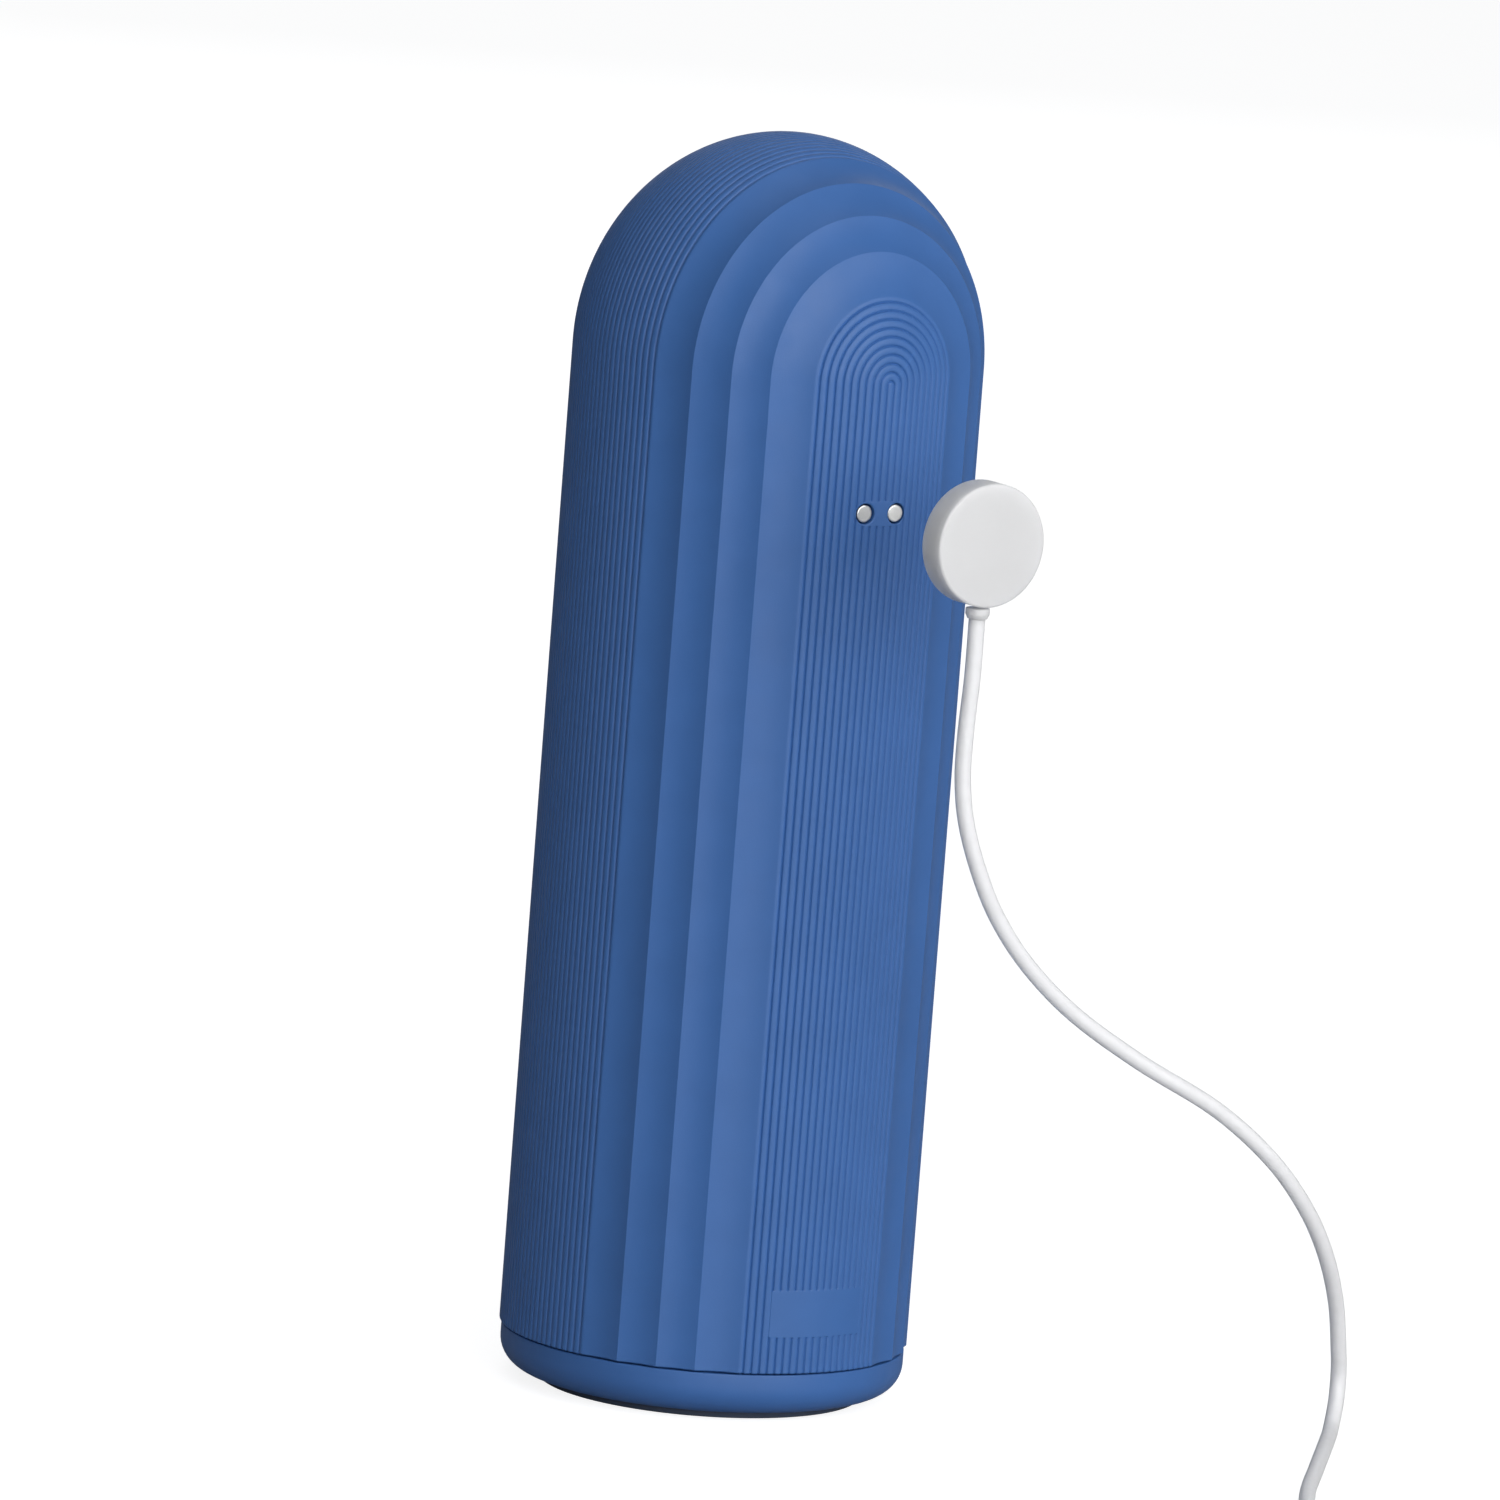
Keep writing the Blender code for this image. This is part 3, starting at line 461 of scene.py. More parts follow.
def grid_faces(rows, columns, wrap=False, start=0):
    """Quads over a grid of points stored row by row; wrap joins the last column to the first."""
    faces = []
    for r in range(rows - 1):
        for c in range(columns if wrap else columns - 1):
            right = (c + 1) % columns
            a = start + r * columns
            faces.append((a + c, a + right, a + columns + right, a + columns + c))
    return faces


def tidy_mesh(made, merge=0.001 * MM):
    """Joins points that coincide, drops empty faces and turns every face outward."""
    shape = bmesh.new()
    shape.from_mesh(made.data)
    bmesh.ops.remove_doubles(shape, verts=shape.verts, dist=merge)
    bmesh.ops.dissolve_degenerate(shape, edges=shape.edges, dist=merge / 2)
    bmesh.ops.recalc_face_normals(shape, faces=shape.faces)
    shape.to_mesh(made.data)
    shape.free()
    return made


def rounded(points, radius, steps=4):
    """A polyline with its inner corners filleted, by less than half of each side."""
    line = [Vector(points[0])]
    for before, corner, after in zip(points, points[1:], points[2:]):
        corner = Vector(corner)
        back = Vector(before) - corner
        on = Vector(after) - corner
        reach = min(radius, 0.45 * back.length, 0.45 * on.length)
        start = corner + back.normalized() * reach
        end = corner + on.normalized() * reach
        for i in range(steps + 1):
            t = i / steps
            line.append(start * (1 - t) ** 2 + corner * 2 * t * (1 - t) + end * t**2)
    line.append(Vector(points[-1]))
    return line


def lathe(name, profile, place=Matrix.Identity(4), steps=96, closed=False, angle=30):
    """A turned piece: profile is (radius, height) points from the top down the outer side."""
    profile = [tuple(p) for p in profile]
    if closed:
        profile.append(profile[0])
    turns = np.linspace(0, 2 * pi, steps, endpoint=False)
    rows = [[(r * cos(t), r * sin(t), z) for t in turns] for r, z in profile]
    points = [place @ Vector(p) for row in rows for p in row]
    made = mesh_object(name, points, grid_faces(len(rows), steps, wrap=True), angle)
    return tidy_mesh(made)


def millimetres(points):
    return [(r * MM, z * MM) for r, z in points]


def lathed(name, points, corner, place=Matrix.Identity(4), steps=96, closed=False):
    """A turned piece from points in millimetres, with its corners rounded."""
    return lathe(name, rounded(millimetres(points), corner * MM), place, steps, closed)


def block(name, size, place, bevel, segments=3, taper=0.0):
    """A block centred on place, a matrix, with rounded edges; taper narrows its +X end."""
    shape = bmesh.new()
    bmesh.ops.create_cube(shape, size=1.0, matrix=Matrix.Diagonal((*size, 1.0)))
    for vert in shape.verts:
        if vert.co.x > 0:
            vert.co.y *= 1 - taper
            vert.co.z *= 1 - taper
    bmesh.ops.bevel(shape, geom=shape.edges, offset=bevel, segments=segments, affect="EDGES", profile=0.5)
    bmesh.ops.transform(shape, matrix=place, verts=shape.verts)
    return shape_object(name, shape, 35)


def rod_cutter(radius, length, place, sides=64):
    """A round bar for cutting, centred on place, a matrix, along its Z."""
    shape = bmesh.new()
    bmesh.ops.create_cone(
        shape, cap_ends=True, segments=sides, radius1=radius, radius2=radius, depth=length, matrix=place
    )
    return shape_object("cutter", shape)


def cut(made, tools):
    """Cuts the tools out of a piece and removes them."""
    for tool in tools:
        step = made.modifiers.new("cut", "BOOLEAN")
        step.operation = "DIFFERENCE"
        step.solver = "EXACT"
        step.object = tool
    bpy.context.view_layer.update()
    result = bpy.data.meshes.new_from_object(made.evaluated_get(bpy.context.evaluated_depsgraph_get()))
    made.modifiers.clear()
    made.data = result
    for tool in tools:
        bpy.data.objects.remove(tool)
    smooth(made.data, 30)
    return made


def joined(name, pieces):
    """Several objects as one mesh object."""
    shape = bmesh.new()
    for piece in pieces:
        shape.from_mesh(piece.data)
        bpy.data.objects.remove(piece)
    return shape_object(name, shape, 30)


def at(x, y, z, turn=Matrix.Identity(4)):
    """A matrix that turns a piece and moves it there."""
    return Matrix.Translation((x, y, z)) @ turn


def dress(made, body, slot, *nodes):
    """Gives a piece its material, the body it rides on and the CAD nodes it stands for."""
    made.data.materials.clear()
    made.data.materials.append(PAINTS[slot])
    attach(made, body)
    if nodes:
        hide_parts(*nodes)
    return made


# ---------------------------------------------------------------- cord


def catmull_rom(points, steps):
    """Points along a smooth curve through the given ones."""
    ends = [points[0] * 2 - points[1], *points, points[-1] * 2 - points[-2]]
    line = []
    for a, b, c, d in zip(ends, ends[1:], ends[2:], ends[3:]):
        for i in range(steps):
            t = i / steps
            line.append(
                (b * 2 + (c - a) * t + (a * 2 - b * 5 + c * 4 - d) * t**2 + (b * 3 - a - c * 3 + d) * t**3)
                / 2
            )
    return [*line, points[-1]]


def coil_turns():
    """The coil's points: four turns inward on the floor, then three outward on top of them."""
    thick = 2 * CORD_RADIUS
    offsets = (1.5, 0.5, -0.5, -1.5, -1.0, 0.0, 1.0, 1.0)
    total = 7.25
    points = []
    for i in range(int(total * COIL_STEPS) + 1):
        turns = i / COIL_STEPS
        number = int(turns)
        # Each turn keeps its radius for two thirds of the way round, then moves over to the next.
        share = min(1.0, max(0.0, (turns - number - 0.6) / 0.3))
        share = share * share * (3 - 2 * share)
        upper = min(1.0, max(0.0, turns - 3.6) / 0.3)
        upper = upper * upper * (3 - 2 * upper)
        next_offset = offsets[min(number + 1, len(offsets) - 1)]
        radius = COIL_MIDDLE + thick * (offsets[number] * (1 - share) + next_offset * share)
        angle = 2 * pi * turns
        over_tie = max(0.0, cos(angle)) ** 6 * 0.85 * MM
        crossing = upper * sin(pi * share) * 0.4 * MM
        high = CORD_RADIUS + 0.05 * MM + over_tie + upper * 2.46 * MM + crossing
        points.append(COIL_CENTRE + (ACROSS * cos(angle) + NEARER * sin(angle)) * radius + UP * high)
    return points


def cord():
    """One continuous cord: from the puck's collar down to the floor, round the coil and to the plug."""
    lead = catmull_rom([Vector(p) * MM for p in CORD_ROUTE], 6)
    tail = catmull_rom([Vector(p) * MM for p in TAIL_ROUTE], 4)
    line = [*lead, *catmull_rom([lead[-1], *coil_turns(), tail[0]], 2)[1:-1], *tail]
    for point in line:
        point.z = max(point.z, CORD_RADIUS)
    curve = bpy.data.curves.new("charging_cord", "CURVE")
    curve.dimensions = "3D"
    curve.bevel_depth = CORD_RADIUS
    curve.bevel_resolution = 6
    curve.use_fill_caps = True
    spline = curve.splines.new("POLY")
    spline.points.add(len(line) - 1)
    for knot, point in zip(spline.points, line):
        knot.co = (*point, 1.0)
    spline.use_smooth = True
    made = new_object("charging_cord", curve)
    dress(made, "puck", "cord_jacket", "cord_lead", "cord_coil", "cord_tail")
    return made, line[0]


def cord_tie():
    """A soft strap round one side of the coil, with a button through its lapped end."""
    centre = COIL_CENTRE + ACROSS * COIL_MIDDLE + UP * 3.6 * MM
    half_width = 6.3 * MM
    half_height = 3.25 * MM
    corner = 2.0 * MM
    loop = []
    for i in range(64):
        turn = 2 * pi * i / 64
        # A rounded box: the corner's arc carried out to the box's sides.
        side = Vector((cos(turn), sin(turn)))
        out = (half_width - corner) * max(-1, min(1, side.x * 2.2))
        high = (half_height - corner) * max(-1, min(1, side.y * 2.2))
        loop.append((out + corner * side.x, high + corner * side.y, side))
    section = rounded([(-0.28, -3), (0.28, -3), (0.28, 3), (-0.28, 3), (-0.28, -3)], 0.2, 3)
    points = []
    for out, high, side in loop:
        for corner_point in section:
            thick, along = corner_point * MM
            spot = centre + ACROSS * (out + thick * side.x) + UP * (high + thick * side.y)
            points.append(spot + NEARER * along)
    count = len(section)
    faces = grid_faces(len(loop), count)
    last = (len(loop) - 1) * count
    faces += [(last + c, last + c + 1, c + 1, c) for c in range(count - 1)]
    strap = tidy_mesh(mesh_object("strap", points, faces, 45))
    button = [(0, 0.55), (1.3, 0.55), (1.3, 0), (0, 0)]
    stud = lathed("stud", button, 0.3, at(*(centre + UP * half_height)), 32)
    return dress(joined("cord_strap", [strap, stud]), "puck", "black_rubber", "cord_tie")


def plug_place(start, rise=0.0):
    """Where a plug piece sits: start is its distance along the plug, X points away from the cord."""
    turn = Matrix.Rotation(PLUG_HEADING, 4, "Z")
    along = Vector((cos(PLUG_HEADING), sin(PLUG_HEADING), 0))
    return Matrix.Translation(PLUG_START + along * start + UP * rise) @ turn


def plug():
    """The USB plug: overmould with grip ribs, folded metal shell, contact tongue."""
    half = 12 * MM
    body = block("plug_grip", (2 * half, 14.5 * MM, 7.4 * MM), plug_place(half), 1.9 * MM, 5)
    pockets = []
    for side in (-1, 1):
        for i in range(5):
            spot = plug_place((7 + 2.2 * i) * MM) @ Matrix.Translation((0, side * 7.5 * MM, 0))
            pockets.append(rod_cutter(0.6 * MM, 12 * MM, spot, 16))
    cut(body, pockets)
    dress(body, "puck", "cord_white", "plug_body")
    length = 14 * MM
    start = 24 * MM + 0.3 * MM
    middle = plug_place(start + length / 2)
    shell = block("plug_can", (length, 12 * MM, 4.5 * MM), middle, 0.35 * MM, 3)
    tools = [block("cutter", (2 * length, 11.2 * MM, 3.7 * MM), middle, 0.1 * MM, 1)]
    for side in (-1, 1):
        for face in (-1, 1):
            spot = middle @ Matrix.Translation((-0.5 * MM, side * 2.9 * MM, face * 2.25 * MM))
            tools.append(block("cutter", (2.2 * MM, 1.9 * MM, 1.2 * MM), spot, 0.1 * MM, 1))
    cut(shell, tools)
    dress(shell, "puck", "steel", "plug_shell")
    tongue_place = plug_place(start + 6.5 * MM, 0.8 * MM)
    tongue = block("plug_insulator", (13 * MM, 10.6 * MM, 1.4 * MM), tongue_place, 0.2 * MM)
    dress(tongue, "puck", "black_component", "plug_tongue")
    pads = []
    for i in range(4):
        spot = plug_place(start + 7.5 * MM, 0.08 * MM)
        spot = spot @ Matrix.Translation((0, (i - 1.5) * 2.3 * MM, 0))
        pads.append(block("pad", (7 * MM, 1.1 * MM, 0.2 * MM), spot, 0.06 * MM, 1))
    contacts = dress(joined("plug_contacts", pads), "puck", "contact_gold")
    return [body, shell, tongue, contacts]


# ---------------------------------------------------------------- case


def flute_relief(angle):
    """Depth of the flutes: each is a shallow arc between two crisp edges, FLUTE_SLOPE steep there."""
    depth = np.zeros_like(angle)
    for start, end in FLUTES:
        along = np.clip((angle - start) / (end - start), 0, 1)
        depth += CASE_RADIUS * radians(end - start) * FLUTE_SLOPE * along * (1 - along)
    return depth


def rib_relief(angle):
    """Depth of the fine ribs: narrow round-bottomed grooves between wide, slightly crowned lands."""
    low, high = SIDE_RIBS
    from_middle = np.where(angle > 90, 180 - angle, angle)
    beside = (angle > low) & (angle < high)
    counted = np.where(beside, (angle - low) / SIDE_PITCH, from_middle / PANEL_PITCH)
    away = np.abs(counted % 1.0 - 0.5)
    crown = np.clip((0.5 - away) / (0.5 - GROOVE_SHARE), 0, 1)
    land = LAND_FALL * crown**2
    groove = (GROOVE_DEPTH - LAND_FALL) * np.cos(pi / 2 * np.clip(away / GROOVE_SHARE, 0, 1)) ** 2
    return np.where(beside | (from_middle < PANEL_EDGE), land + groove, 0)


def box_distance(across, along, half_across, half_along, corner):
    """Signed distance outside a round-cornered rectangle."""
    a = np.abs(across) - half_across + corner
    b = np.abs(along) - half_along + corner
    outside = np.hypot(np.maximum(a, 0), np.maximum(b, 0))
    return outside + np.minimum(np.maximum(a, b), 0) - corner


def case_relief(angle, side, z):
    """Relief depth at an arch angle in degrees, on the -X or +X side, at a height."""
    x = side * CASE_RADIUS * np.sin(np.radians(angle))
    at_back = angle < 90
    round_contacts = box_distance(x, z - CONTACT_Z, 5.0 * MM, 2.15 * MM, 2.14 * MM)
    along = CASE_RADIUS * np.radians(angle)
    plain_label = box_distance(along, z - LABEL_MIDDLE, 9.2 * MM, 4.1 * MM, 0.3 * MM)
    round_button = box_distance(x, z - CONTROLS_MIDDLE, 8.0 * MM, 16 * MM, 7.9 * MM)
    nearest = np.where(at_back, np.minimum(round_contacts, plain_label), round_button)
    plain = np.clip(0.5 - nearest / PATCH_BLEND, 0, 1)
    depth = flute_relief(angle) + rib_relief(angle) * (1 - plain)
    for hole_x, hole_z, radius, back in (
        (CONTACT_X, CONTACT_Z, CONTACT_HOLE, True),
        (-CONTACT_X, CONTACT_Z, CONTACT_HOLE, True),
        (0, BUTTON_Z, BUTTON_HOLE, False),
        (0, LIGHT_Z, LIGHT_HOLE, False),
    ):
        near = np.clip((radius + HOLE_LIP - np.hypot(x - hole_x, z - hole_z)) / HOLE_LIP, 0, 1)
        depth += np.where(at_back == back, 0.12 * MM * near**2, 0)
    return depth


def arch_angles():
    """Angles of the shell's mesh lines: fine across each groove, coarser over the flutes."""
    low = SIDE_RIBS[0]
    shares = (0, 0.16, 0.28, 0.32, 0.37, 0.435, 0.5, 0.565, 0.63, 0.68, 0.72, 0.84)
    flat = (0, 0.04, 0.12, 0.22, 0.32, 0.42, 0.5, 0.58, 0.68, 0.78, 0.88, 0.96, 1)
    angles = {0.0, PANEL_EDGE - 0.1, 180.1 - PANEL_EDGE, 180.0}
    for i in range(SIDE_RIB_COUNT):
        angles |= {low + (i + share) * SIDE_PITCH for share in shares}
    for i in range(int(PANEL_EDGE / PANEL_PITCH)):
        angles |= {(i + share) * PANEL_PITCH for share in shares}
        angles |= {180 - (i + share) * PANEL_PITCH for share in shares}
    for start, end in FLUTES:
        angles |= {start + share * (end - start) for share in flat}
    return np.array(sorted({round(angle, 4) for angle in angles}))


def side_heights():
    """Heights of the mesh lines on the straight side, close together round the plain patches."""
    heights = [SHELL_FOOT, SHELL_FOOT + 0.06 * MM, SHELL_FOOT + 0.2 * MM]
    spans = ((10.5, 15.2, 3), (15.2, 16.1, 9), (16.1, 23.3, 5), (23.3, 24.2, 9), (24.2, 138.0, 40))
    spans += ((138.0, 144.0, 16), (144.0, 155.2, 20), (155.2, 160.2, 50), (160.2, 166.0, 12))
    spans += ((166.0, 172.0, 16), (172.0, 178.0, 3))
    for low, high, count in spans:
        heights += [(low + (high - low) * i / count) * MM for i in range(count)]
    return np.array(heights)


def shell_skin(radius, relief, heights, dome_steps, angles):
    """Rows of points, one per arch angle: up the -X side, over the dome and down the +X side."""
    turns = np.linspace(pi, 0, dome_steps + 1)
    rows = []
    for angle in angles:
        flat_z = np.concatenate([heights, np.full(dome_steps + 1, DOME_Z), heights[::-1]])
        side = np.concatenate([np.full(len(heights), -1), np.cos(turns), np.full(len(heights), 1)])
        rise = np.concatenate([np.zeros(len(heights)), np.sin(turns), np.zeros(len(heights))])
        depth = relief(np.full(len(side), angle), np.sign(side), flat_z)
        reach = radius - depth
        x = reach * sin(radians(angle)) * side
        y = -reach * cos(radians(angle))
        z = flat_z + DOME_RISE * reach * sin(radians(angle)) * rise
        rows.append(np.stack([x, y, z], axis=1))
    return rows


def foot_relief(angle, side, z):
    """The outer relief with the shell's lower edge softly rounded."""
    edge = np.clip((SHELL_FOOT + 0.2 * MM - z) / (0.2 * MM), 0, 1)
    return case_relief(angle, side, z) + 0.18 * MM * edge**2


def case_cover():
    """The outer shell with its arches, ribs and plain patches, open at the foot."""
    angles = arch_angles()
    outer = shell_skin(CASE_RADIUS, foot_relief, side_heights(), 112, angles)
    plain = shell_skin(
        CASE_RADIUS - CASE_WALL,
        lambda angle, side, z: np.zeros_like(angle),
        np.array([SHELL_FOOT, 30 * MM, 90 * MM, 150 * MM]),
        40,
        angles,
    )
    wide = len(outer[0])
    narrow = len(plain[0])
    rows = len(angles)
    inner = rows * wide
    points = np.concatenate(outer + plain)
    faces = grid_faces(rows, wide)
    faces += [face[::-1] for face in grid_faces(rows, narrow, start=inner)]
    # The open foot: the outer and inner skins joined along both ends of the arches.
    for i in range(rows - 1):
        for far, near in ((0, 0), (wide - 1, narrow - 1)):
            a, b = i * wide + far, (i + 1) * wide + far
            c, d = inner + (i + 1) * narrow + near, inner + i * narrow + near
            faces.append((a, b, c, d) if far else (d, c, b, a))
    made = tidy_mesh(mesh_object("case_cover", points, faces, 40))
    back = -CASE_RADIUS
    tools = [
        rod_cutter(CONTACT_HOLE, HOLE_DEPTH, at(-CONTACT_X, back, CONTACT_Z, FACING_BACK)),
        rod_cutter(CONTACT_HOLE, HOLE_DEPTH, at(CONTACT_X, back, CONTACT_Z, FACING_BACK)),
        rod_cutter(BUTTON_HOLE, HOLE_DEPTH, at(0, -back, BUTTON_Z, FACING_BACK), 96),
        rod_cutter(LIGHT_HOLE, HOLE_DEPTH, at(0, -back, LIGHT_Z, FACING_BACK), 32),
    ]
    cut(made, tools)
    return dress(made, "shell", "case_blue", "outer_shell")


def case_controls():
    """Contacts, button and status light in the shell's surface."""
    for side, word in ((-1, "left"), (1, "right")):
        profile = [(0, 34.8), (1.3, 34.79), (1.5, 34.68), (1.5, 31.7), (0, 31.7)]
        place = at(side * CONTACT_X, 0, CONTACT_Z, FACING_BACK)
        contact = lathed(f"contact_pad_{word}", profile, 0.12, place, 64)
        dress(contact, "shell", "contact_nickel", f"charge_contact_{word}")
    profile = [(0, 34.7), (3.6, 34.8), (4.6, 35.0), (5.5, 34.9), (5.5, 31.0), (7, 31), (7, 30), (0, 30)]
    button = lathed("power_button", profile, 0.4, at(0, 0, BUTTON_Z, FACING_FRONT))
    dress(button, "case_key", "button_blue", "case_button")
    profile = [(0, 34.8), (0.9, 34.75), (0.9, 27.4), (0, 27.4)]
    light = lathed("status_lens", profile, 0.25, at(0, 0, LIGHT_Z, FACING_FRONT), 32)
    dress(light, "shell", "clear_window", "status_light")


def base():
    """The rounded base with its spigot and seal, and the rubber foot under it."""
    corner = 5.0
    out = 34.8
    under = 1.5
    arc = []
    for i in range(13):
        turn = pi / 2 * i / 12
        arc.append((out - corner + corner * cos(turn), under + corner * (1 - sin(turn))))
    top = [(0, 3.8), (29.9, 3.8), (29.9, 18), (31.9, 18), (31.9, 14.5), (30.9, 14.5), (30.9, 12.5)]
    top += [(31.9, 12.5), (31.9, 9.0), (out, 9.0)]
    recess = [(28.3, under), (28.3, 1.9), (0, 1.9)]
    profile = rounded(millimetres([*top, arc[0]]), 0.25 * MM) + [Vector(p) for p in millimetres(arc[1:])]
    profile += rounded(millimetres([arc[-1], *recess]), 0.2 * MM)[1:]
    bowl = lathe("base_bowl", profile, steps=192)
    holes = [rod_cutter(SCREW_HOLE, 8 * MM, at(x, y, 6.2 * MM), 32) for x, y in screw_places()]
    dress(cut(bowl, holes), "stand", "case_blue", "base_cap")
    foot = [(0, 1.6), (28.0, 1.6), (28.0, 0)]
    for radius in (25, 22, 19, 16, 13, 10):
        foot += [(radius + 0.5, 0), (radius + 0.2, 0.35), (radius - 0.2, 0.35), (radius - 0.5, 0)]
    pad = lathed("grip_foot", [*foot, (0, 0)], 0.3, steps=128)
    dress(pad, "stand", "grey_rubber", "foot_pad")
    seal_radius = 31.85
    seal_height = 13.5
    half_thick = 0.65
    seal = []
    for i in range(20):
        turn = pi / 2 - 2 * pi * i / 20
        out_from_axis = seal_radius + half_thick * cos(turn)
        seal.append((out_from_axis * MM, (seal_height + half_thick * sin(turn)) * MM))
    dress(lathe("case_seal", seal, steps=160, closed=True), "stand", "black_rubber", "seal_ring")


def screw_places():
    """Where the cradle's three screws stand, round the brush's axis."""
    for i in range(3):
        turn = radians(90 + 120 * i)
        yield SCREW_CIRCLE * cos(turn), BRUSH_Y + SCREW_CIRCLE * sin(turn)


def cradle():
    """The white cup with its charging peg, drain notches, and three cross-head screws."""
    profile = [(0, 17.5), (3.2, 17.3), (3.2, 10.7), (13, 10.7), (14.2, 11.2), (14.2, 21), (16, 21), (16, 6.1)]
    profile += [(22, 6.1), (22, 4.1), (12.4, 4.1), (12.4, 9.1), (2, 9.1), (2, 16), (0, 16)]
    cup = lathed("charging_cup", profile, 0.5, at(0, BRUSH_Y, 0), 128)
    tools = [rod_cutter(SCREW_HOLE, 8 * MM, at(x, y, 5 * MM), 32) for x, y in screw_places()]
    for i in range(3):
        turn = Matrix.Rotation(radians(30 + 120 * i), 4, "Z")
        spot = at(0, BRUSH_Y, 0) @ turn @ Matrix.Translation((15 * MM, 0, 21 * MM))
        tools.append(block("cutter", (6 * MM, 5 * MM, 5 * MM), spot, 1.2 * MM, 4))
    dress(cut(cup, tools), "stand", "white_plastic", "cradle")
    for i, (x, y) in enumerate(screw_places()):
        points = [(0, 7.7), (1.4, 7.6), (2.0, 7.2), (2.0, 6.4), (0.9, 6.4)]
        for turn in range(9):
            low = 6.0 - 0.4 * turn
            points += [(0.9, low), (0.7, low - 0.1), (0.7, low - 0.25), (0.9, low - 0.35)]
        points += [(0, 2.5)]
        screw = lathed(f"cradle_fixing_{i + 1}", points, 0.08, at(x, y, 0), 40)
        cross = []
        for turn in (0.4 + i, 0.4 + i + pi / 2):
            spot = at(x, y, 7.7 * MM, Matrix.Rotation(turn, 4, "Z"))
            cross.append(block("cutter", (2.2 * MM, 0.45 * MM, 1.2 * MM), spot, 0.08 * MM, 1))
        dress(cut(screw, cross), "stand", "steel", f"cradle_screw_{i + 1}")


# ---------------------------------------------------------------- brush


def brush_handle():
    """The handle with a finely ridged grip, its end cap and its button."""
    outline = [(5.2, 137.0), (6.2, 135.0), (7.7, 130.0), (10.3, 118.0), (11.5, 107.0), (12.5, 94.0)]
    outline += [(13.3, 76.0), (13.7, 50.0), (13.6, 24.0), (13.3, 13.0)]
    line = catmull_rom([Vector((r, z)) for r, z in outline], 6)
    outside = []
    for radius, z in line:
        above = z - GRIP_MIDDLE
        grip = max(0.0, 1 - (above / GRIP_HALF) ** 2) ** 0.3 if abs(above) < GRIP_HALF else 0.0
        outside.append((radius - GRIP_DEPTH * grip * (1 + cos(z * 2 * pi / GRIP_PITCH)), z))
    inside = [(r - 1.6, z) for r, z in reversed(outline) if z < 128] + [(6, 128), (3.4, 130), (3.4, 137)]
    handle = lathe("brush_handle", millimetres([*outside, *inside]), at(0, BRUSH_Y, 0), 128, closed=True)
    hole = rod_cutter(3.9 * MM, 8 * MM, at(0, BRUSH_Y + 12 * MM, BRUSH_BUTTON_Z, FACING_FRONT))
    dress(cut(handle, [hole]), "brush", "white_plastic", "handle_shell")
    cap = [(0, 19.6), (4.4, 19.6), (4.8, 19.2), (4.8, 15.5), (11.2, 15.5), (11.2, 12.7), (13.3, 12.7)]
    cap += [(13.3, 11.9), (12.5, 11.1), (3.7, 11.1), (3.7, 18.2), (0, 18.2)]
    end = lathed("brush_end_cap", cap, 0.3, at(0, BRUSH_Y, 0))
    dress(end, "brush", "grey_rubber", "handle_end_cap")
    dome = [(0, 13.1), (2.4, 13.2), (3.6, 13.1), (3.6, 10.2), (0, 10.2)]
    key = lathed("brush_power_button", dome, 0.5, at(0, BRUSH_Y, BRUSH_BUTTON_Z, FACING_FRONT))
    dress(key, "brush_key", "button_blue", "brush_button")


def oval_plate(name, half_width, half_height, low, high, place, edge):
    """An upright oval plate with rolled edges, facing the front, between two depths."""
    profile = rounded([(0, high), (1, high), (1, low), (0, low)], edge, 6)
    turns = np.linspace(0, 2 * pi, 72, endpoint=False)
    points = []
    for share, depth in profile:
        inset = (1 - share) * half_width
        for t in turns:
            x = max(0.0, half_width - inset) * cos(t)
            z = max(0.0, half_height * share) * sin(t)
            points.append(place @ Vector((x, depth, z)))
    made = mesh_object(name, points, grid_faces(len(profile), len(turns), wrap=True))
    return tidy_mesh(made)


def brush_head():
    """Neck and head plate in one, with a ring groove near the foot, and the bristles."""
    neck = [(2.2, 165.0), (2.6, 160.0), (3.4, 150.0), (4.6, 141.0), (5.15, 137.6)]
    line = catmull_rom([Vector(p) for p in neck], 5)
    profile = [(0, 165.6), (1.6, 165.5), *line, (5.0, 137.3), (1.6, 137.3), (1.6, 147), (0, 147)]
    stem = lathe("stem", millimetres(profile), at(0, BRUSH_Y, 0), 64)
    groove = millimetres([(7, 140.4), (7, 139.9), (4.55, 139.9), (4.55, 140.4)])
    cut(stem, [lathe("cutter", groove, at(0, BRUSH_Y, 0), 64, closed=True)])
    plate = oval_plate("plate", 5.6 * MM, 8.4 * MM, -2.2 * MM, 2.2 * MM, at(0, BRUSH_Y, HEAD_Z), 1.1 * MM)
    union = stem.modifiers.new("join", "BOOLEAN")
    union.operation = "UNION"
    union.object = plate
    cut(stem, [])
    bpy.data.objects.remove(plate)
    stem.name = "brush_stem"
    dress(stem, "head", "white_plastic", "brush_neck")
    dress(bristles(), "head", "bristle_nylon", "bristle_field")


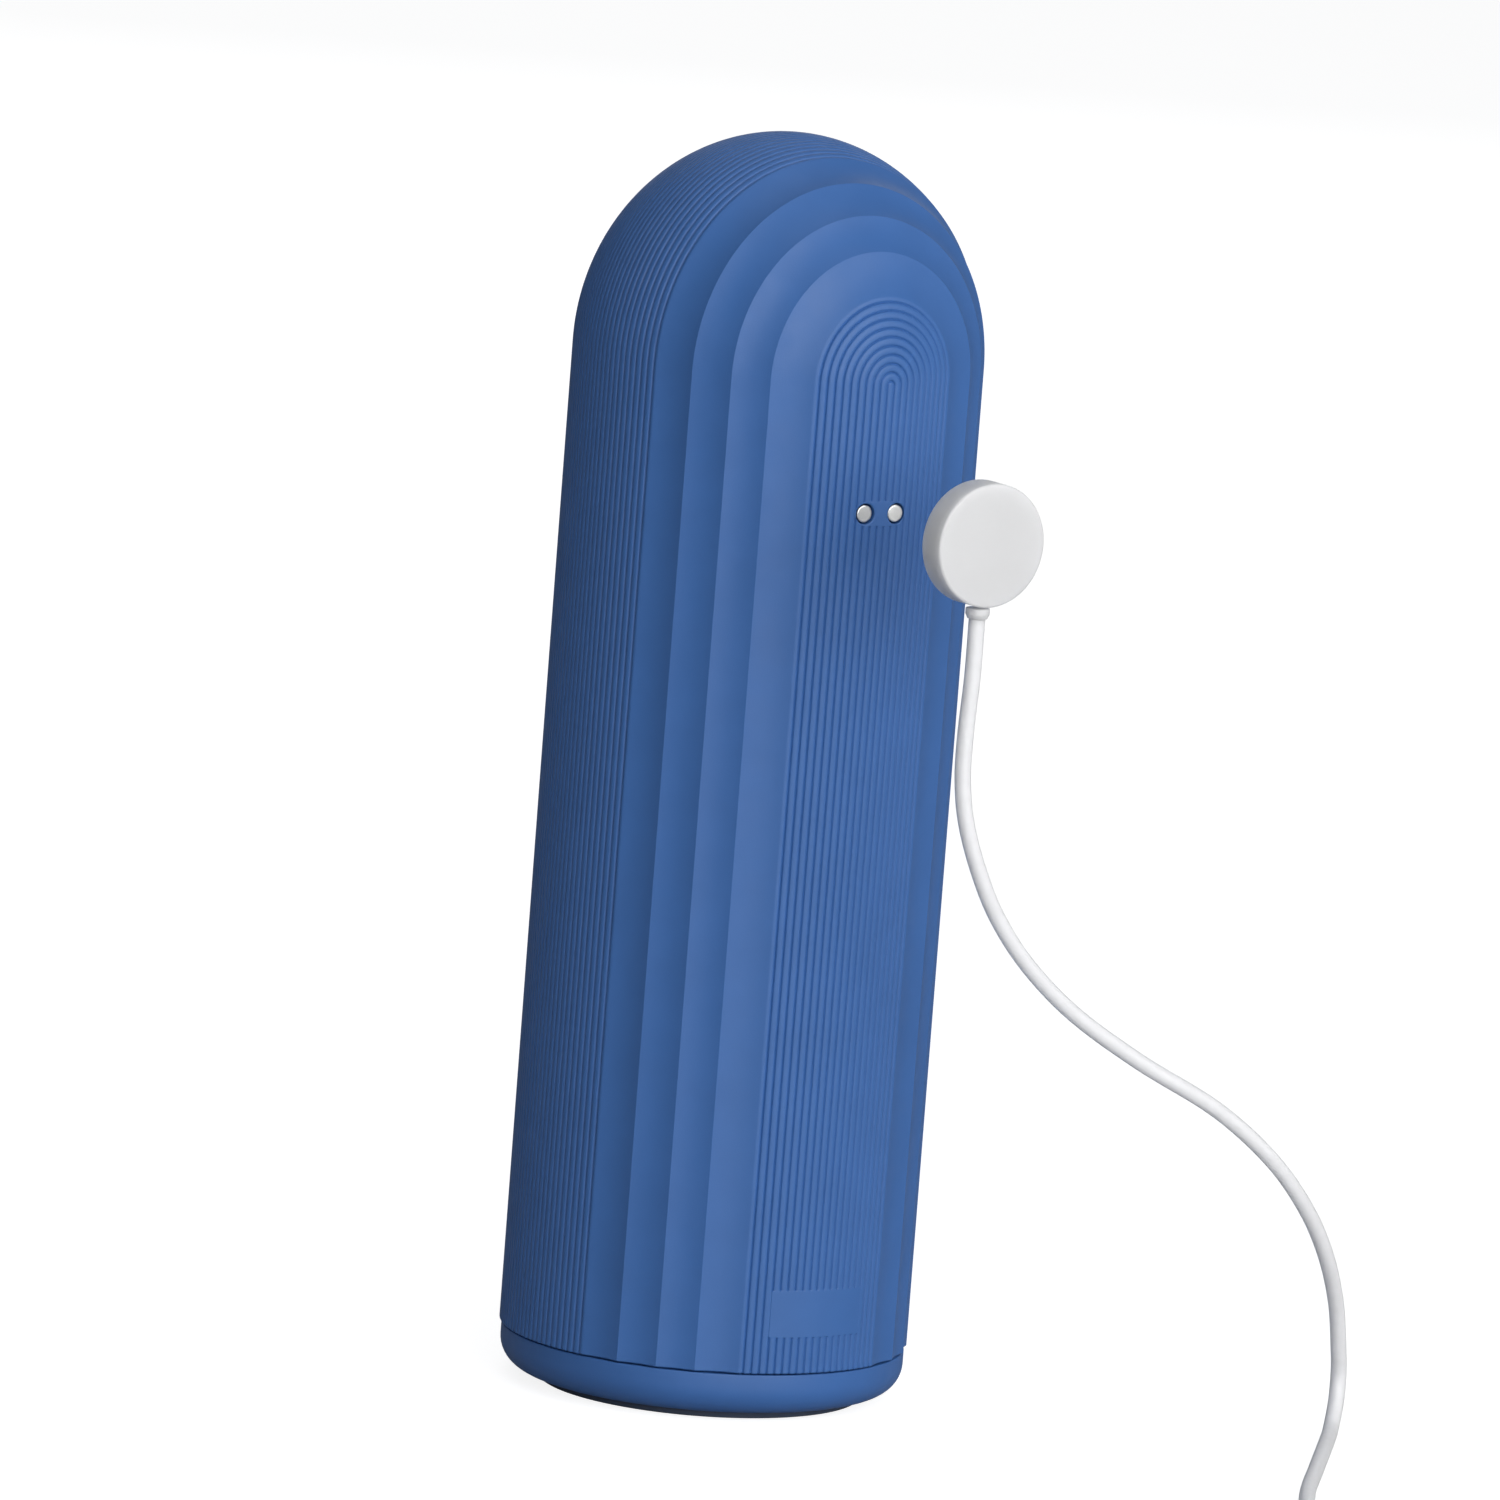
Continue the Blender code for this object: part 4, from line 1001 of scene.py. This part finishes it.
def bristles():
    """Tufts of fine filaments standing on the head in staggered rows, trimmed to a low wave."""
    draw = np.random.default_rng(7)
    shape = bmesh.new()
    root = BRUSH_Y + 2.2 * MM
    spacing = 1.65 * MM
    for row in range(-4, 5):
        for column in range(-3, 4):
            x = (column + 0.5 * (row % 2)) * spacing
            z = row * spacing * 0.95
            if (x / (4.3 * MM)) ** 2 + (z / (7.1 * MM)) ** 2 > 0.86:
                continue
            length = (7.3 + 0.35 * cos(row * pi / 4)) * MM
            for i in range(FILAMENTS):
                radius = 0.66 * MM * sqrt((i + 0.5) / FILAMENTS)
                turn = i * GOLDEN_TURN
                spread = 1 + 0.12 * draw.random()
                foot = Vector((x + radius * cos(turn), root, HEAD_Z + z + radius * sin(turn)))
                aside = 2 * radius * (spread - 1)
                lean = Vector((aside * cos(turn), 0, aside * sin(turn)))
                tip = foot + Vector((0, length - 0.15 * MM * draw.random(), 0)) + lean
                turned = (tip - foot).to_track_quat("Z", "Y").to_matrix().to_4x4()
                place = Matrix.Translation((foot + tip) / 2) @ turned
                bmesh.ops.create_cone(
                    shape,
                    cap_ends=True,
                    segments=5,
                    radius1=0.1 * MM,
                    radius2=0.07 * MM,
                    depth=(tip - foot).length,
                    matrix=place,
                )
    return shape_object("tufts", shape, 50)


# ---------------------------------------------------------------- puck


def puck():
    """The charging puck: soft-edged cover, recessed rear plate, and the collar that the cord leaves."""
    place = at(0, PUCK_REAR, CONTACT_Z, FACING_BACK)
    profile = [(0, 5.7), (10.25, 5.7), (10.5, 5.45), (10.5, 0.3), (10.2, 0), (9.4, 0), (9.4, 4.5), (0, 4.5)]
    cover = lathed("puck_housing", profile, 0.3, place, 160)
    dress(cover, "puck", "cord_white", "puck_cover")
    face = [(0, 1.8), (9.1, 1.8), (9.1, 0.3), (6.9, 0.3), (6.7, 0.42), (0, 0.42)]
    plate = lathed("puck_plate", face, 0.15, place, 128)
    holes = [
        rod_cutter(1.05 * MM, 8 * MM, at(side * CONTACT_X, PUCK_REAR, CONTACT_Z, FACING_BACK), 48)
        for side in (-1, 1)
    ]
    dress(cut(plate, holes), "puck", "cord_white", "puck_face")
    for side, word in ((-1, "left"), (1, "right")):
        profile = [(0, 2.5), (0.75, 2.5), (0.75, 0.25), (0.6, 0.15), (0.6, -0.35), (0.4, -0.55), (0, -0.6)]
        spot = at(side * CONTACT_X, PUCK_REAR, CONTACT_Z, FACING_BACK)
        pin = lathed(f"sprung_pin_{word}", profile, 0.12, spot, 40)
        dress(pin, f"pin_{word}", "contact_gold", f"puck_pin_{word}")
    collar = [(0, 146.8), (2.05, 146.8), (2.05, 145.75), (1.8, 145.35), (1.7, 145.0), (0, 145.0)]
    neck = lathed("cord_collar", collar, 0.2, at(0, PUCK_REAR - PUCK_DEPTH / 2, 0), 64)
    return dress(neck, "puck", "cord_white", "puck_collar")


def carried_over():
    """The CAD pieces that stay as they are get their slot's material."""
    for entry in frame["record"]["subparts"]:
        node = frame["nodes"][entry["node"]]
        node.data.materials.clear()
        node.data.materials.append(PAINTS[entry["material_slot"]])


camera()
PAINTS = paints()
carried_over()
line, cord_exit = cord()
strap = cord_tie()
plug_pieces = plug()
collar = puck()
case_cover()
case_controls()
base()
cradle()
brush_handle()
brush_head()
stage()
